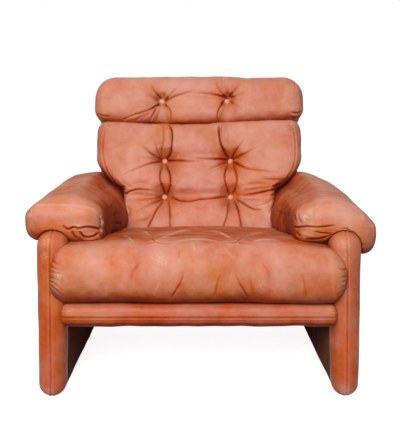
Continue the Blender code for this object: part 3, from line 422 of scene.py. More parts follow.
# Folds
def in_frame(points):
    """Where the camera sees each point in its frame, and how far ahead it is."""
    offset = points - CAMERA
    ahead = offset @ FORWARD
    return FRAME_MIDDLE + FOCAL * np.stack([offset[:, 0], offset @ DOWN], 1) / ahead[:, None], ahead


def curve(path, steps=6):
    """A smooth line through the points of a path."""
    path = np.array(path, float)
    ends = np.vstack([2 * path[0] - path[1], path, 2 * path[-1] - path[-2]])
    t = np.linspace(0, 1, steps, endpoint=False)[:, None]
    spans = []
    for a, b, c, d in zip(ends, ends[1:], ends[2:], ends[3:]):
        spans.append(b + 0.5 * ((c - a) * t + (2 * a - 5 * b + 4 * c - d) * t**2 + (3 * b - a - 3 * c + d) * t**3))
    return np.vstack([*spans, path[-1:]])


def along_path(places, path):
    """Each place's distance from a path, and its share of the way along it."""
    run = np.diff(path, axis=0)
    length = np.linalg.norm(run, axis=1)
    before = np.concatenate([[0], np.cumsum(length)])
    offset = places[:, None] - path[:-1]
    share = np.clip((offset * run).sum(2) / length**2, 0, 1)
    gap = np.linalg.norm(offset - share[..., None] * run, axis=2)
    best = gap.argmin(1)
    rows = np.arange(len(places))
    return gap[rows, best], (before[best] + share[rows, best] * length[best]) / before[-1]


STRENGTHS = {
    "start": lambda along: (1 - along) ** 0.7,
    "end": lambda along: along**0.7,
    "both": lambda along: np.sin(pi * along) ** 0.6,
    "even": lambda along: np.minimum(1, 6 * np.minimum(along, 1 - along) + 0.35),
}


def streaks(buttons, count, seed):
    """Faint short folds that fan out from each button, as places in the frame."""
    chance = np.random.default_rng(seed)
    folds = []
    for button in buttons:
        turns = 2 * pi * (np.arange(count) + chance.uniform(-0.35, 0.35, count)) / count
        for turn, start, run in zip(turns, chance.uniform(6, 13, count), chance.uniform(7, 22, count)):
            way = np.array((cos(turn), sin(turn)))
            bend = np.array((-way[1], way[0])) * chance.uniform(-1.5, 1.5)
            path = [button + way * start, button + way * (start + run / 2) + bend, button + way * (start + run)]
            folds.append((path, chance.uniform(0.4, 1.0) * chance.choice((-1, 1)), 0.8, "both"))
    return folds


def fold_field(places, folds, seen):
    """How far folds lift each point (down in a fold, up beside it), and its painted shade: up to 1 in a fold, below 0
    for the painted highlight along a ridge.
    """
    lift, shade = np.zeros(len(places)), np.zeros(len(places))
    for path, depth, width, strongest in folds:
        path = curve(path)
        reach = 5 * width
        near = np.flatnonzero((seen > 0) & ((places > path.min(0) - reach) & (places < path.max(0) + reach)).all(1))
        if not len(near):
            continue
        gap, along = along_path(places[near], path)
        amount = STRENGTHS[strongest](along) * seen[near]
        core = np.exp(-((gap / (0.75 * width)) ** 1.4))
        shoulder = np.exp(-(((gap - 2 * width) / width) ** 2))
        lift[near] -= depth * (7.5e-4 if depth > 0 else 4e-4) * amount * (core - 0.25 * shoulder * (depth > 0))
        # a fold gets painted shade along its line, a ridge a painted highlight
        if depth > 0:
            line = 0.48 * np.exp(-((gap / (0.45 * width)) ** 2)) + 0.26 * np.exp(-((gap / (1.9 * width)) ** 2))
            shade[near] = np.maximum(shade[near], amount * line * min(1, depth / 7.5))
        else:
            shade[near] += -0.09 * min(-depth, 5) * amount * core
    return lift, shade


def creased_quads(points, quads, folds):
    """Which quads a fold runs through, as the camera sees them."""
    places, ahead = in_frame(points)
    towards = CAMERA - points
    near = np.zeros(len(points), bool)
    facing = (normals(points, quads) * towards).sum(1) > 0
    for path, depth, width, strongest in folds:
        path = curve(path)
        reach = 1.9 * width
        close = np.flatnonzero(facing & ((places > path.min(0) - reach) & (places < path.max(0) + reach)).all(1))
        if len(close):
            near[close[along_path(places[close], path)[0] < reach]] = True
    return near[quads].any(1)


def refined(points, quads, chosen):
    """Cuts the chosen quads in four, rounded as the skin curves. Returns points and triangles."""
    out = normals(points, quads)

    def midway(corners):
        middle = points[corners].mean(1)
        rise = ((points[corners] - middle[:, None]) * out[corners]).sum(2, keepdims=True) * out[corners]
        return middle + 0.75 * rise.mean(1)

    ends = np.sort(np.stack([quads, np.roll(quads, -1, 1)], -1), 2).astype(np.int64)
    keys = ends[..., 0] * len(points) + ends[..., 1]
    split = np.unique(keys[chosen])
    cut = np.isin(keys, split)
    fanned = cut.any(1)
    centres = len(points) + np.arange(fanned.sum())
    halfway = len(points) + len(centres) + np.searchsorted(split, keys)
    triangles = [quads[~fanned][:, [0, 1, 2]], quads[~fanned][:, [0, 2, 3]]]
    for side in range(4):
        first, second = quads[fanned, side], quads[fanned, (side + 1) % 4]
        middle, is_cut = halfway[fanned, side], cut[fanned, side]
        triangles.append(np.stack([centres, first, second], 1)[~is_cut])
        triangles.append(np.stack([centres, first, middle], 1)[is_cut])
        triangles.append(np.stack([centres, middle, second], 1)[is_cut])
    split_ends = np.stack([split // len(points), split % len(points)], 1)
    points = np.vstack([points, midway(quads[fanned]), midway(split_ends)])
    return points, np.vstack(triangles)


def facing(points, out):
    """How squarely points with these outward directions face the camera, up to 1."""
    towards = (CAMERA - points) / np.linalg.norm(CAMERA - points, axis=1, keepdims=True)
    return (out * towards).sum(1)


def press(points, faces, folds, least=0.42):
    """Presses folds written in the camera's frame into the leather that faces it by least or more. Returns points and shade."""
    out = normals(points, faces)
    places, ahead = in_frame(points)
    lift, shade = fold_field(places, folds, ramp(least / 7, least, facing(points, out)))
    return points + out * lift[:, None], shade


def clear_of(points, *others):
    """Moves points that lie in other pieces out to just above their surfaces."""
    points = points.copy()
    for other in others:
        mesh = other.data
        tree = BVHTree.FromPolygons([v.co for v in mesh.vertices], [p.vertices[:] for p in mesh.polygons])
        low = np.array([v[:] for v in other.bound_box]).min(0)
        high = np.array([v[:] for v in other.bound_box]).max(0)
        for i in np.flatnonzero(((points > low) & (points < high)).all(1)):
            place, direction, face, away = tree.find_nearest(Vector(points[i]))
            if (Vector(points[i]) - place).dot(direction) < CLEAR:
                points[i] = place + direction * CLEAR
    return points


def turned_from_key_lamp(points, faces):
    """How much each point faces away from the key lamp and the sitter: painted shade on those sides, and the deeper
    tone of less rubbed leather.
    """
    return ramp(0.85, 0.05, normals(points, faces) @ KEY_LAMP_WAY)


# Pieces
def mesh_object(name, points, faces):
    mesh = bpy.data.meshes.new(name)
    mesh.from_pydata(points.tolist(), [], faces.tolist())
    mesh.shade_smooth()
    obj = bpy.data.objects.new(name, mesh)
    bpy.context.scene.collection.objects.link(obj)
    return obj


def evaluated_arrays(obj):
    """Points and quads of an object with its modifiers applied."""
    shown = obj.evaluated_get(bpy.context.evaluated_depsgraph_get())
    mesh = shown.to_mesh()
    points = np.empty(len(mesh.vertices) * 3, np.float32)
    mesh.vertices.foreach_get("co", points)
    quads = np.empty(len(mesh.loops), np.int32)
    mesh.loops.foreach_get("vertex_index", quads)
    shown.to_mesh_clear()
    return points.reshape(-1, 3).astype(float), quads.reshape(-1, 4)


def filled(points, quads, held, cap=0.024, share=0.5):
    """The skin after cloth simulation with air pressure inside. held is how firmly each point keeps its place,
    and cap is the farthest that a point may move."""
    obj = mesh_object("filling", points, quads)
    group = obj.vertex_groups.new(name="held")
    for level in np.unique(np.round(held, 1)):
        group.add(np.flatnonzero(np.round(held, 1) == level).tolist(), float(level), "REPLACE")
    cloth = obj.modifiers.new("filling", "CLOTH")
    cloth.settings.use_pressure = True
    cloth.settings.uniform_pressure_force = 4
    cloth.settings.effector_weights.gravity = 0
    cloth.settings.quality = 4
    cloth.settings.tension_stiffness = 20
    cloth.settings.compression_stiffness = 20
    cloth.settings.bending_stiffness = 0.4
    cloth.settings.shrink_min = -0.03
    cloth.settings.vertex_group_mass = "held"
    cloth.point_cache.frame_end = 20
    for step in range(1, 21):
        bpy.context.scene.frame_set(step)
    moved = evaluated_arrays(obj)[0] - points
    bpy.context.scene.frame_set(1)
    bpy.data.objects.remove(obj)
    length = np.linalg.norm(moved, axis=1, keepdims=True)
    return points + share * moved * np.minimum(1, cap / np.maximum(length, 1e-9))


def finer(points, quads):
    """The same skin with each quad cut in four and smoothed."""
    obj = mesh_object("finer", points, quads)
    obj.modifiers.new("finer", "SUBSURF").levels = 1
    made = evaluated_arrays(obj)
    bpy.data.objects.remove(obj)
    return made


def scuffed(points, faces, name):
    """How much each point has rubbed pale. Sides turned from the camera keep their tone."""
    places, ahead = in_frame(points)
    worn = np.zeros(len(points))
    for place, reach, strength in SCUFFS.get(name, ()):
        worn = np.maximum(worn, strength * np.exp(-((np.linalg.norm(places - place, axis=1) / reach) ** 2)))
    return worn * ramp(0.12, 0.45, facing(points, normals(points, faces)))


def button_places(kind):
    """The foot and the outward direction of each button of one kind: head, back or seat."""
    axis = Vector((0, 0, 1)) if kind == "seat" else Vector((0, -cos(BACK_LEAN), sin(BACK_LEAN)))
    found = {}
    for name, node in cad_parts.items():
        if name.startswith(kind) and "_button_" in name:
            tip = max((vert.co for vert in node.data.vertices), key=lambda place: place.dot(axis))
            found[name] = (tip - axis * BUTTON_RISE, axis)
    return found


def drawn_under(points, kind):
    """Draws the leather in under the buttons of one kind, as a funnel that opens outwards."""
    points = points.copy()
    for foot, axis in button_places(kind).values():
        offset = points - foot
        above = offset @ axis
        away = np.linalg.norm(offset - above[:, None] * np.array(axis), axis=1)
        over = above + 0.0015 - 0.9 * np.maximum(0, away - 0.0088)
        drop = (over + np.hypot(over, 0.004)) / 2 * bump(away, 0.045) ** 0.25
        points -= np.where(above < 0.04, drop, 0)[:, None] * np.array(axis)
    return points


def leather_piece(node, points, faces, shade, material, side_shade=0.46):
    """A finished padded piece that takes a CAD node's place. Sides turned from the key lamp get painted shade, as much
    as the last argument gives.
    """
    obj = mesh_object(node + "_leather", points, faces)
    # painted shade on the sides turned from the key lamp, kept in the fold attribute with the painted shade of the
    # folds
    shade = shade + side_shade * turned_from_key_lamp(points, faces)
    for name, values in {"fold": shade, "worn": scuffed(points, faces, node)}.items():
        obj.data.attributes.new(name, "FLOAT", "POINT").data.foreach_set("value", values.astype(np.float32))
    obj.data.materials.append(material)
    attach(obj, "root")
    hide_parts(node)
    return obj


def leaned(points):
    """Points of the back's leaning frame, in the chair's."""
    x, y, z = points.T
    turned_y = y * cos(BACK_LEAN) + z * sin(BACK_LEAN)
    turned_z = z * cos(BACK_LEAN) - y * sin(BACK_LEAN)
    return BACK_FOOT + np.stack([x, turned_y, turned_z], 1)


def button_hollow_shade(points, buttons):
    """Painted shade round buttons, which are given as places in the frame: the deep, unglossy tone of the hollows
    gathered there.
    """
    places, ahead = in_frame(points)
    return np.max([0.22 * bump(np.linalg.norm(places - np.array(b), axis=1), 24) for b in buttons], 0)


def near_buttons(places, buttons, reach=0.016):
    """1 at each button and 0 beyond its reach."""
    return np.max([bump(np.linalg.norm(places - np.array(b), axis=1), reach) for b in buttons], 0)


def build_seat():
    points, quads = soft_box(SEAT_HALF, SEAT_ROLL, 0.0084)
    x, y, z = points.T.copy()
    buttons = [(bx, by - SEAT_MIDDLE[1]) for bx, by in SEAT_BUTTONS]
    creases = [(buttons[0], buttons[1], 0.006, 0.042)]
    dimples = [(b, 0.020, 0.075) for b in buttons]
    top = ramp(-0.2, 1, z / SEAT_HALF[2])
    sag = 0.030 * ramp(-0.6, 0.6, y / SEAT_HALF[1])
    crown = 0.018 * (1 - (x / SEAT_HALF[0]) ** 2)
    points[:, 2] += top * (crown - sag - drawn_in(np.stack([x, y], 1), creases, dimples))
    right, left = x / SEAT_HALF[0], -x / SEAT_HALF[0]
    points[:, 2] += top * (0.008 * ramp(0.6, 1, left) - 0.008 * ramp(0.6, 1, right))
    points[:, 0] -= 0.004 * ramp(0.8, 1, left)
    droop = ramp(0.2, -1, z / SEAT_HALF[2]) * ramp(-0.75, -1, y / SEAT_HALF[1])
    points[:, 2] -= 0.013 * droop * bump(abs(x - 0.30), 0.16)
    places = points[:, :2].copy()
    points += SEAT_MIDDLE
    held = np.maximum(1 - ramp(-0.9, -0.2, z / SEAT_HALF[2]), near_buttons(places, buttons, 0.03) * (z > 0))
    held = np.maximum(held, 0.8 * ramp(0.7, 1, y / SEAT_HALF[1]))
    points = between_panels(filled(points, quads, held, share=0.3))
    points, quads = finer(points, quads)
    points += normals(points, quads) * slack(points, 0.0012, 0.11, 3)[:, None]
    folds = SEAT_FOLDS + SEAT_TOP_FOLDS
    points, faces = refined(points, quads, creased_quads(points, quads, folds))
    points, shade = press(points, faces, SEAT_FOLDS)
    points, top_shade = press(points, faces, SEAT_TOP_FOLDS, 0.12)
    shade += top_shade
    # painted shade deeper towards the bottom of the roll, on top of a deeper tone all over
    return drawn_under(points, "seat"), faces, shade + 0.10 + 0.10 * ramp(0.37, 0.31, points[:, 2])


def between_panels(points):
    """Narrows the part of the seat behind the panels' front rims to the space between their inner faces."""
    rise = (points[:, 2] - SIDE_BOTTOM) / (SIDE_TOP - SIDE_BOTTOM)
    inner = INNER_BOTTOM + rise * (INNER_TOP - INNER_BOTTOM)
    most = inner + 0.002 + 0.05 * ramp(SIDE_FRONT + 0.030, SIDE_FRONT - 0.002, points[:, 1])
    points = points.copy()
    points[:, 0] = np.clip(points[:, 0], -most, most)
    return points


def build_back_cushion():
    points, quads = soft_box(CUSHION_HALF, CUSHION_ROLL, 0.0073)
    points = squared(points, CUSHION_HALF, CUSHION_ROLL, {1: -1, 2: 1})
    x, y, z = points.T.copy()
    rows = (LOW_ROW - CUSHION_MIDDLE[2], MID_ROW - CUSHION_MIDDLE[2])
    buttons = [(column, row) for column in BACK_COLUMNS for row in rows]
    low, mid = rows
    left, right = BACK_COLUMNS
    creases = [((-CUSHION_HALF[0], low), (CUSHION_HALF[0], low), 0.014, 0.028), ((left, mid), (right, mid), 0.009, 0.034)]
    creases += [((-0.26, mid), (left, mid), 0.004, 0.05), ((right, mid), (0.26, mid), 0.004, 0.05)]
    creases += [((column, low), (column, CUSHION_HALF[2]), 0.007, 0.038) for column in BACK_COLUMNS]
    front = ramp(0, -1, y / CUSHION_HALF[1])
    crown = 0.012 * (1 - (x / CUSHION_HALF[0]) ** 2)
    places = np.stack([x, z], 1)
    points[:, 1] += front * (drawn_in(places, creases, [(b, 0.036, 0.062) for b in buttons]) - crown)
    narrow = (CUSHION_WAIST - CUSHION_CORE) / (CUSHION_HALF[0] - CUSHION_CORE)
    wing = np.maximum(0, abs(x) - CUSHION_CORE)
    share = 1 - (1 - np.clip((z + CUSHION_MIDDLE[2] - WING_START) / WING_RISE, 0, 1)) ** 2
    points[:, 0] = np.sign(x) * (abs(x) - wing * (1 - narrow) * (1 - share))
    points[:, 2] += seam_rise(points[:, 0]) * ramp(0.55, 1, z / CUSHION_HALF[2])
    points = leaned(points + CUSHION_MIDDLE)
    held = np.maximum(1 - ramp(-0.1, 0.7, -y / CUSHION_HALF[1]), near_buttons(places, buttons, 0.03) * (y < 0))
    held = np.maximum(held, 0.7 * (1 - ramp(0.012, 0.03, from_line(places, *creases[0][:2]))) * (y < 0))
    points = filled(points, quads, held, share=0.4)
    points, quads = finer(points, quads)
    points += normals(points, quads) * slack(points, 0.0010, 0.09, 5)[:, None]
    points, faces = refined(points, quads, creased_quads(points, quads, BACK_FOLDS))
    points, shade = press(points, faces, BACK_FOLDS + streaks(BACK_PLACES, 17, 3))
    # painted shade in the folds and round the buttons
    return drawn_under(points, "back"), faces, shade + button_hollow_shade(points, BACK_PLACES)


def seam_rise(x):
    """How far the line between headrest and back cushion runs above its true height."""
    return np.interp(x, (-0.33, -0.20, -0.06, 0.07, 0.16, 0.26, 0.33), (0.007, 0.000, -0.005, 0.000, 0.006, 0.012, 0.013))


def build_headrest():
    points, quads = soft_box(HEAD_HALF, HEAD_ROLL, 0.0066)
    points = squared(points, HEAD_HALF, HEAD_ROLL, {1: -1, 2: -1}, 3)
    x, y, z = points.T.copy()
    row = HEAD_ROW - HEAD_MIDDLE[2]
    left, right = HEAD_COLUMNS
    creases = [((left, row), (right, row), 0.018, 0.042)]
    creases += [((column, row), (column, -HEAD_HALF[2]), 0.018, 0.042) for column in HEAD_COLUMNS]
    buttons = [(column, row) for column in HEAD_COLUMNS]
    places = np.stack([x, z], 1)
    front = ramp(0, -1, y / HEAD_HALF[1])
    points[:, 1] += front * drawn_in(places, creases, [(b, 0.036, 0.062) for b in buttons])
    points = round_corner(points, HEAD_HALF, 0.076, HEAD_ROLL[0])
    points[:, 2] += seam_rise(points[:, 0]) * ramp(0.3, -1, z / HEAD_HALF[2])
    points = leaned(points + HEAD_MIDDLE)
    held = np.maximum(1 - ramp(-0.6, 0.4, -y / HEAD_HALF[1]), near_buttons(places, buttons, 0.03) * (y < 0))
    points = filled(points, quads, held, share=0.4)
    points, quads = finer(points, quads)
    points += normals(points, quads) * slack(points, 0.0010, 0.09, 7)[:, None]
    points, faces = refined(points, quads, creased_quads(points, quads, HEAD_FOLDS))
    points, shade = press(points, faces, HEAD_FOLDS + streaks(HEAD_PLACES, 21, 9))
    # painted shade in the folds and round the buttons, a little lighter all over
    return drawn_under(points, "head"), faces, shade + button_hollow_shade(points, HEAD_PLACES) - 0.06


def round_corner(points, half, radius, roll):
    """Rounds the upper corners, seen from the front, from the box's own roll to a wider radius."""
    points = points.copy()
    over = np.stack([abs(points[:, 0]) - half[0] + radius, points[:, 2] - half[2] + radius], 1)
    corner = (over > 0).all(1)
    direction = over[corner] / np.linalg.norm(over[corner], axis=1)[:, None]
    inner, spread = radius - roll, direction.sum(1)
    edge = radius / direction.max(1)
    arc = spread * inner + np.sqrt(np.maximum(0, (spread * inner) ** 2 - 2 * inner**2 + roll**2))
    edge = np.where(edge * direction.min(1) > inner, arc, edge)
    moved = over[corner] * (radius / edge)[:, None]
    points[corner, 0] = np.sign(points[corner, 0]) * (moved[:, 0] + half[0] - radius)
    points[corner, 2] = moved[:, 1] + half[2] - radius
    return points


def build_arm(name, side):
    points, quads = soft_box(ARM_HALF, ARM_ROLLS[name], 0.0078)
    points = squared(points, ARM_HALF, ARM_ROLLS[name], {0: -1, 2: -1}, 6)
    points = squared(points, ARM_HALF, ARM_ROLLS[name], {0: 1, 2: -1}, 3)
    if side < 0:
        points[:, 0] *= -1
        quads = quads[:, ::-1]
    x, y, z = points.T.copy()
    out, back, up = side * x / ARM_HALF[0], y / ARM_HALF[1], z / ARM_HALF[2]
    above, below = ramp(-0.2, 1, up), ramp(0.2, -1, up)
    lift = -ARM_SLUMP[name] * below * ramp(-0.2, 0.8, out)
    lift -= ARM_OUTER_DROP[name] * above * ramp(-0.2, 1, out)
    lift -= above * ramp(-0.22, -0.62, out) * (0.010 + 0.035 * ramp(-0.8, 0.4, back))
    lift -= 0.018 * above * ramp(0.4, -1, back)
    lift -= ARM_OUTER_FALL[name] * ramp(-0.2, 1, out)
    lift -= 0.030 * below * ramp(0.3, -1, out) * ramp(-0.6, 0.2, back)
    points[:, 0] -= side * ARM_OUTER_ROUND[name] * ramp(-0.3, 0.9, up) * ramp(0.55, 1, out)
    rear_inner = ramp(-0.5, -1, out) * ramp(-0.4, 0.3, back)
    points[:, 0] += side * rear_inner * (0.009 - 0.034 * ramp(0.3, -0.6, up))
    points[:, 2] += lift
    points[:, 0] += side * ARM_SPREAD[name] * ramp(0, 1, out)
    points += ARM_MIDDLE * (side, 1, 1)
    held = 1 - ramp(-0.6, 0.2, up)
    points = filled(points, quads, held, share=0.3)
    points = saddled(points, side)
    points, quads = finer(points, quads)
    calm = 1 - 0.85 * ramp(-0.35, -0.8, (side * points[:, 0] - ARM_MIDDLE[0]) / ARM_HALF[0])
    points += normals(points, quads) * (calm * slack(points, 0.0012, 0.15, 11 + side))[:, None]
    points, faces = refined(points, quads, creased_quads(points, quads, ARM_FOLDS[name]))
    points, shade = press(points, faces, ARM_FOLDS[name])
    # painted shade deepening towards the bottom of the pad, and a set tone for each pad
    return points, faces, shade + ARM_TONE[name] + 0.14 * ramp(0.53, 0.45, points[:, 2])


def saddled(points, side):
    """Lifts the points over a side panel onto its rounded top."""
    points = points.copy()
    middle, thick = (INNER_TOP + OUTER_TOP) / 2, (OUTER_TOP - INNER_TOP) / 2 + 0.002
    away = np.abs(side * points[:, 0] - middle)
    over = (away < thick) & (points[:, 1] > SIDE_FRONT)
    level = SIDE_TOP + 0.002 - thick + np.sqrt(np.maximum(0, thick**2 - away**2))
    lifted = over & (points[:, 2] < level)
    points[lifted, 2] = level[lifted]
    return points


# Side panels
def panel_loop(inset, steps=9, runs=(30, 12, 26, 14)):
    """The panel's outline seen from the side, drawn in by inset, as (y, z) points."""
    corners = (
        (SIDE_FRONT, SIDE_BOTTOM, PANEL_CORNERS["front_bottom"], 180),
        (SIDE_REAR, SIDE_BOTTOM, PANEL_CORNERS["rear_bottom"], 270),
        (SIDE_REAR, SIDE_TOP, PANEL_CORNERS["rear_top"], 0),
        (SIDE_FRONT, SIDE_TOP, PANEL_CORNERS["front_top"], 90),
    )
    arcs = []
    for y, z, radius, start in corners:
        away = max(radius, inset + 0.004)
        centre = (y + (away if y == SIDE_FRONT else -away), z + (away if z == SIDE_BOTTOM else -away))
        turns = np.radians(start + np.linspace(0, 90, steps))
        arcs.append(np.stack([centre[0] + (away - inset) * np.cos(turns), centre[1] + (away - inset) * np.sin(turns)], 1))
    loop = []
    for i, (arc, count) in enumerate(zip(arcs, runs)):
        after = arcs[(i + 1) % 4][0]
        share = np.linspace(0, 1, count + 1, endpoint=False)[1:, None]
        loop += [arc, arc[-1] + (after - arc[-1]) * share]
    return np.vstack(loop)


def build_panel(name, side):
    """A side panel: padded faces joined by a double seam round the middle of the rim."""
    radius = (OUTER_BOTTOM - INNER_BOTTOM) / 2
    rim = [0, 12, 24, 36, 48, 60, 70, 78, 83, 86.5, 90, 93.5, 97, 102, 110, 120, 132, 144, 156, 168, 180]
    faces = np.linspace(0.200, radius + 0.012, 13)
    levels = [(inset, -1.0) for inset in faces]
    levels += [(radius * (1 - sin(radians(turn))), -cos(radians(turn))) for turn in rim]
    levels += [(inset, 1.0) for inset in faces[::-1]]
    loops = []
    for inset, across in levels:
        loop = panel_loop(inset)
        rise = (loop[:, 1] - SIDE_BOTTOM) / (SIDE_TOP - SIDE_BOTTOM)
        inner = INNER_BOTTOM + rise * (INNER_TOP - INNER_BOTTOM)
        outer = OUTER_BOTTOM + rise * (OUTER_TOP - OUTER_BOTTOM)
        x = (outer + inner) / 2 + (outer - inner) / 2 * across
        loops.append(np.column_stack([side * x, loop]))
    count = len(loops[0])
    grid = np.arange(len(loops) * count).reshape(len(loops), count)
    near, far = grid[:-1], grid[1:]
    quads = np.stack([near, np.roll(near, -1, 1), np.roll(far, -1, 1), far], -1).reshape(-1, 4)
    points = np.vstack(loops)
    caps = [cap_quads(grid[0])[:, ::-1], cap_quads(grid[-1])]
    quads = np.vstack([quads, *caps])
    if side < 0:
        quads = quads[:, ::-1]
    points, quads = finer(points, quads)
    out = normals(points, quads)
    middle = panel_middle(points[:, 2])
    off = side * points[:, 0] - middle
    rim_share = ramp(0.80, 0.97, np.hypot(out[:, 1], out[:, 2]))
    welt = -0.0016 * np.exp(-((off / 0.0018) ** 2)) + 0.0012 * np.exp(-(((abs(off) - 0.0052) / 0.0026) ** 2))
    points += out * (rim_share * welt)[:, None]
    points += out * slack(points, 0.0009, 0.13, 21 + side)[:, None]
    points[:, 2] = np.maximum(points[:, 2], SIDE_BOTTOM * 0.5)
    points, shade = press(points, quads, PANEL_FOLDS[name])
    # the seam's dark line; painted highlight on the welt ridges beside it and on the panel's rounded top
    shade = np.maximum(shade, rim_share * 0.22 * np.exp(-((off / 0.0018) ** 2)))
    shade -= 0.16 * rim_share * np.exp(-(((abs(off) - 0.0055) / 0.0030) ** 2)) + 0.14 * ramp(0.38, 0.46, points[:, 2])
    return points, quads, shade


def panel_middle(z):
    """Distance of the middle of a panel's thickness from the middle of the chair at height z."""
    rise = (z - SIDE_BOTTOM) / (SIDE_TOP - SIDE_BOTTOM)
    inner = INNER_BOTTOM + rise * (INNER_TOP - INNER_BOTTOM)
    return (inner + OUTER_BOTTOM + rise * (OUTER_TOP - OUTER_BOTTOM)) / 2


def cap_quads(loop):
    """Fills a long loop with quads between its two halves."""
    half = len(loop) // 2
    one, other = loop[:half], loop[half : 2 * half][::-1]
    return np.stack([one[:-1], one[1:], other[1:], other[:-1]], -1)


def build_platform():
    middle = np.array((0, (PLATFORM_FRONT + PLATFORM_REAR) / 2, (PLATFORM_TOP + PLATFORM_BOTTOM) / 2))
    half = (PLATFORM_HALF, (PLATFORM_REAR - PLATFORM_FRONT) / 2, (PLATFORM_TOP - PLATFORM_BOTTOM) / 2)
    points, quads = soft_box(half, (0.022, 0.022, 0.022), 0.0090)
    points += middle
    points, quads = finer(points, quads)
    points, faces = refined(points, quads, (points[quads][:, :, 1] < PLATFORM_FRONT + 0.012).all(1))
    out = normals(points, faces)
    front, level = ramp(-0.3, -0.9, out[:, 1]), points[:, 2]
    welt = sum(rise * np.exp(-(((level - height) / width) ** 2)) for height, width, rise in RAIL_SEAMS)
    points += out * (front * welt + slack(points, 0.0008, 0.10, 31))[:, None]
    points, shade = press(points, faces, RAIL_FOLDS)
    # the seams' dark lines, a painted highlight along the top of the rail and painted shade along its bottom
    shade += front * sum(tone * np.exp(-(((level - height) / width) ** 2)) for height, width, tone in RAIL_SEAMS_HIGHLIGHT_AND_SHADE)
    return points, faces, shade


def build_shell():
    half = (0.3592, SHELL_THICK / 2, (BACK_TOP - SHELL_BOTTOM) / 2)
    points, quads = soft_box(half, (0.022, 0.022, 0.022), 0.0080)
    points = leaned(points + (0, SHELL_THICK / 2, (BACK_TOP + SHELL_BOTTOM) / 2))
    points += normals(points, quads) * slack(points, 0.0014, 0.14, 41)[:, None]
    return points, quads, np.zeros(len(points))


def build_buttons(material):
    """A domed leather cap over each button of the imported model, with a rolled edge."""
    profile = ((0.0040, -0.0004), (0.0084, -0.0004), (0.0091, 0.0010), (0.0090, 0.0026), (0.0080, 0.0042), (0.0058, 0.0057),
               (0.0031, 0.0066))
    turns = np.linspace(0, 2 * pi, 24, endpoint=False)
    for name, (foot, axis) in [item for kind in ("head", "back", "seat") for item in button_places(kind).items()]:
        across = axis.orthogonal().normalized()
        other = axis.cross(across)
        points = [foot + axis * rise + radius * (across * cos(turn) + other * sin(turn))
                  for radius, rise in profile for turn in turns]
        grid = np.arange(len(points)).reshape(len(profile), len(turns))
        near, far = grid[:-1], grid[1:]
        faces = np.stack([near, np.roll(near, -1, 1), np.roll(far, -1, 1), far], -1).reshape(-1, 4).tolist()
        faces += [grid[0, ::-1].tolist(), grid[-1].tolist()]
        mesh = bpy.data.meshes.new(name + "_cap")
        mesh.from_pydata([point[:] for point in points], [], faces)
        mesh.shade_smooth()
        cap = bpy.data.objects.new(name + "_cap", mesh)
        bpy.context.scene.collection.objects.link(cap)
        cap.data.materials.append(material)
        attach(cap, "root")


# Materials
def add_node(tree, kind, inputs=None, **settings):
    """A shader node. An input is a value, or another node's output to link from."""
    made = tree.nodes.new(kind)
    for name, value in settings.items():
        setattr(made, name, value)
    for name, value in (inputs or {}).items():
        if isinstance(value, bpy.types.NodeSocket):
            tree.links.new(value, made.inputs[name])
        else:
            made.inputs[name].default_value = value
    return made


def blank(name):
    material = bpy.data.materials.new(name)
    material.use_nodes = True
    tree = material.node_tree
    return material, tree, tree.nodes["Principled BSDF"], add_node(tree, "ShaderNodeTexCoord").outputs["Object"]


def noise(tree, place, scale, detail=3.0, roughness=0.55):
    return add_node(
        tree, "ShaderNodeTexNoise", {"Vector": place, "Scale": scale, "Detail": detail, "Roughness": roughness}
    ).outputs["Fac"]


def remap(tree, value, low, high, to_low=0.0, to_high=1.0):
    inputs = {"Value": value, "From Min": low, "From Max": high, "To Min": to_low, "To Max": to_high}
    return add_node(tree, "ShaderNodeMapRange", inputs).outputs["Result"]


def maths(tree, operation, first, second):
    made = add_node(tree, "ShaderNodeMath", operation=operation)
    for socket, value in zip(made.inputs, (first, second)):
        if isinstance(value, bpy.types.NodeSocket):
            tree.links.new(value, socket)
        else:
            socket.default_value = value
    return made.outputs[0]


def mixed(tree, share, first, second):
    made = add_node(tree, "ShaderNodeMix", data_type="RGBA")
    for socket, value in zip((made.inputs[0], made.inputs[6], made.inputs[7]), (share, first, second)):
        if isinstance(value, bpy.types.NodeSocket):
            tree.links.new(value, socket)
        else:
            socket.default_value = value
    return made.outputs[2]


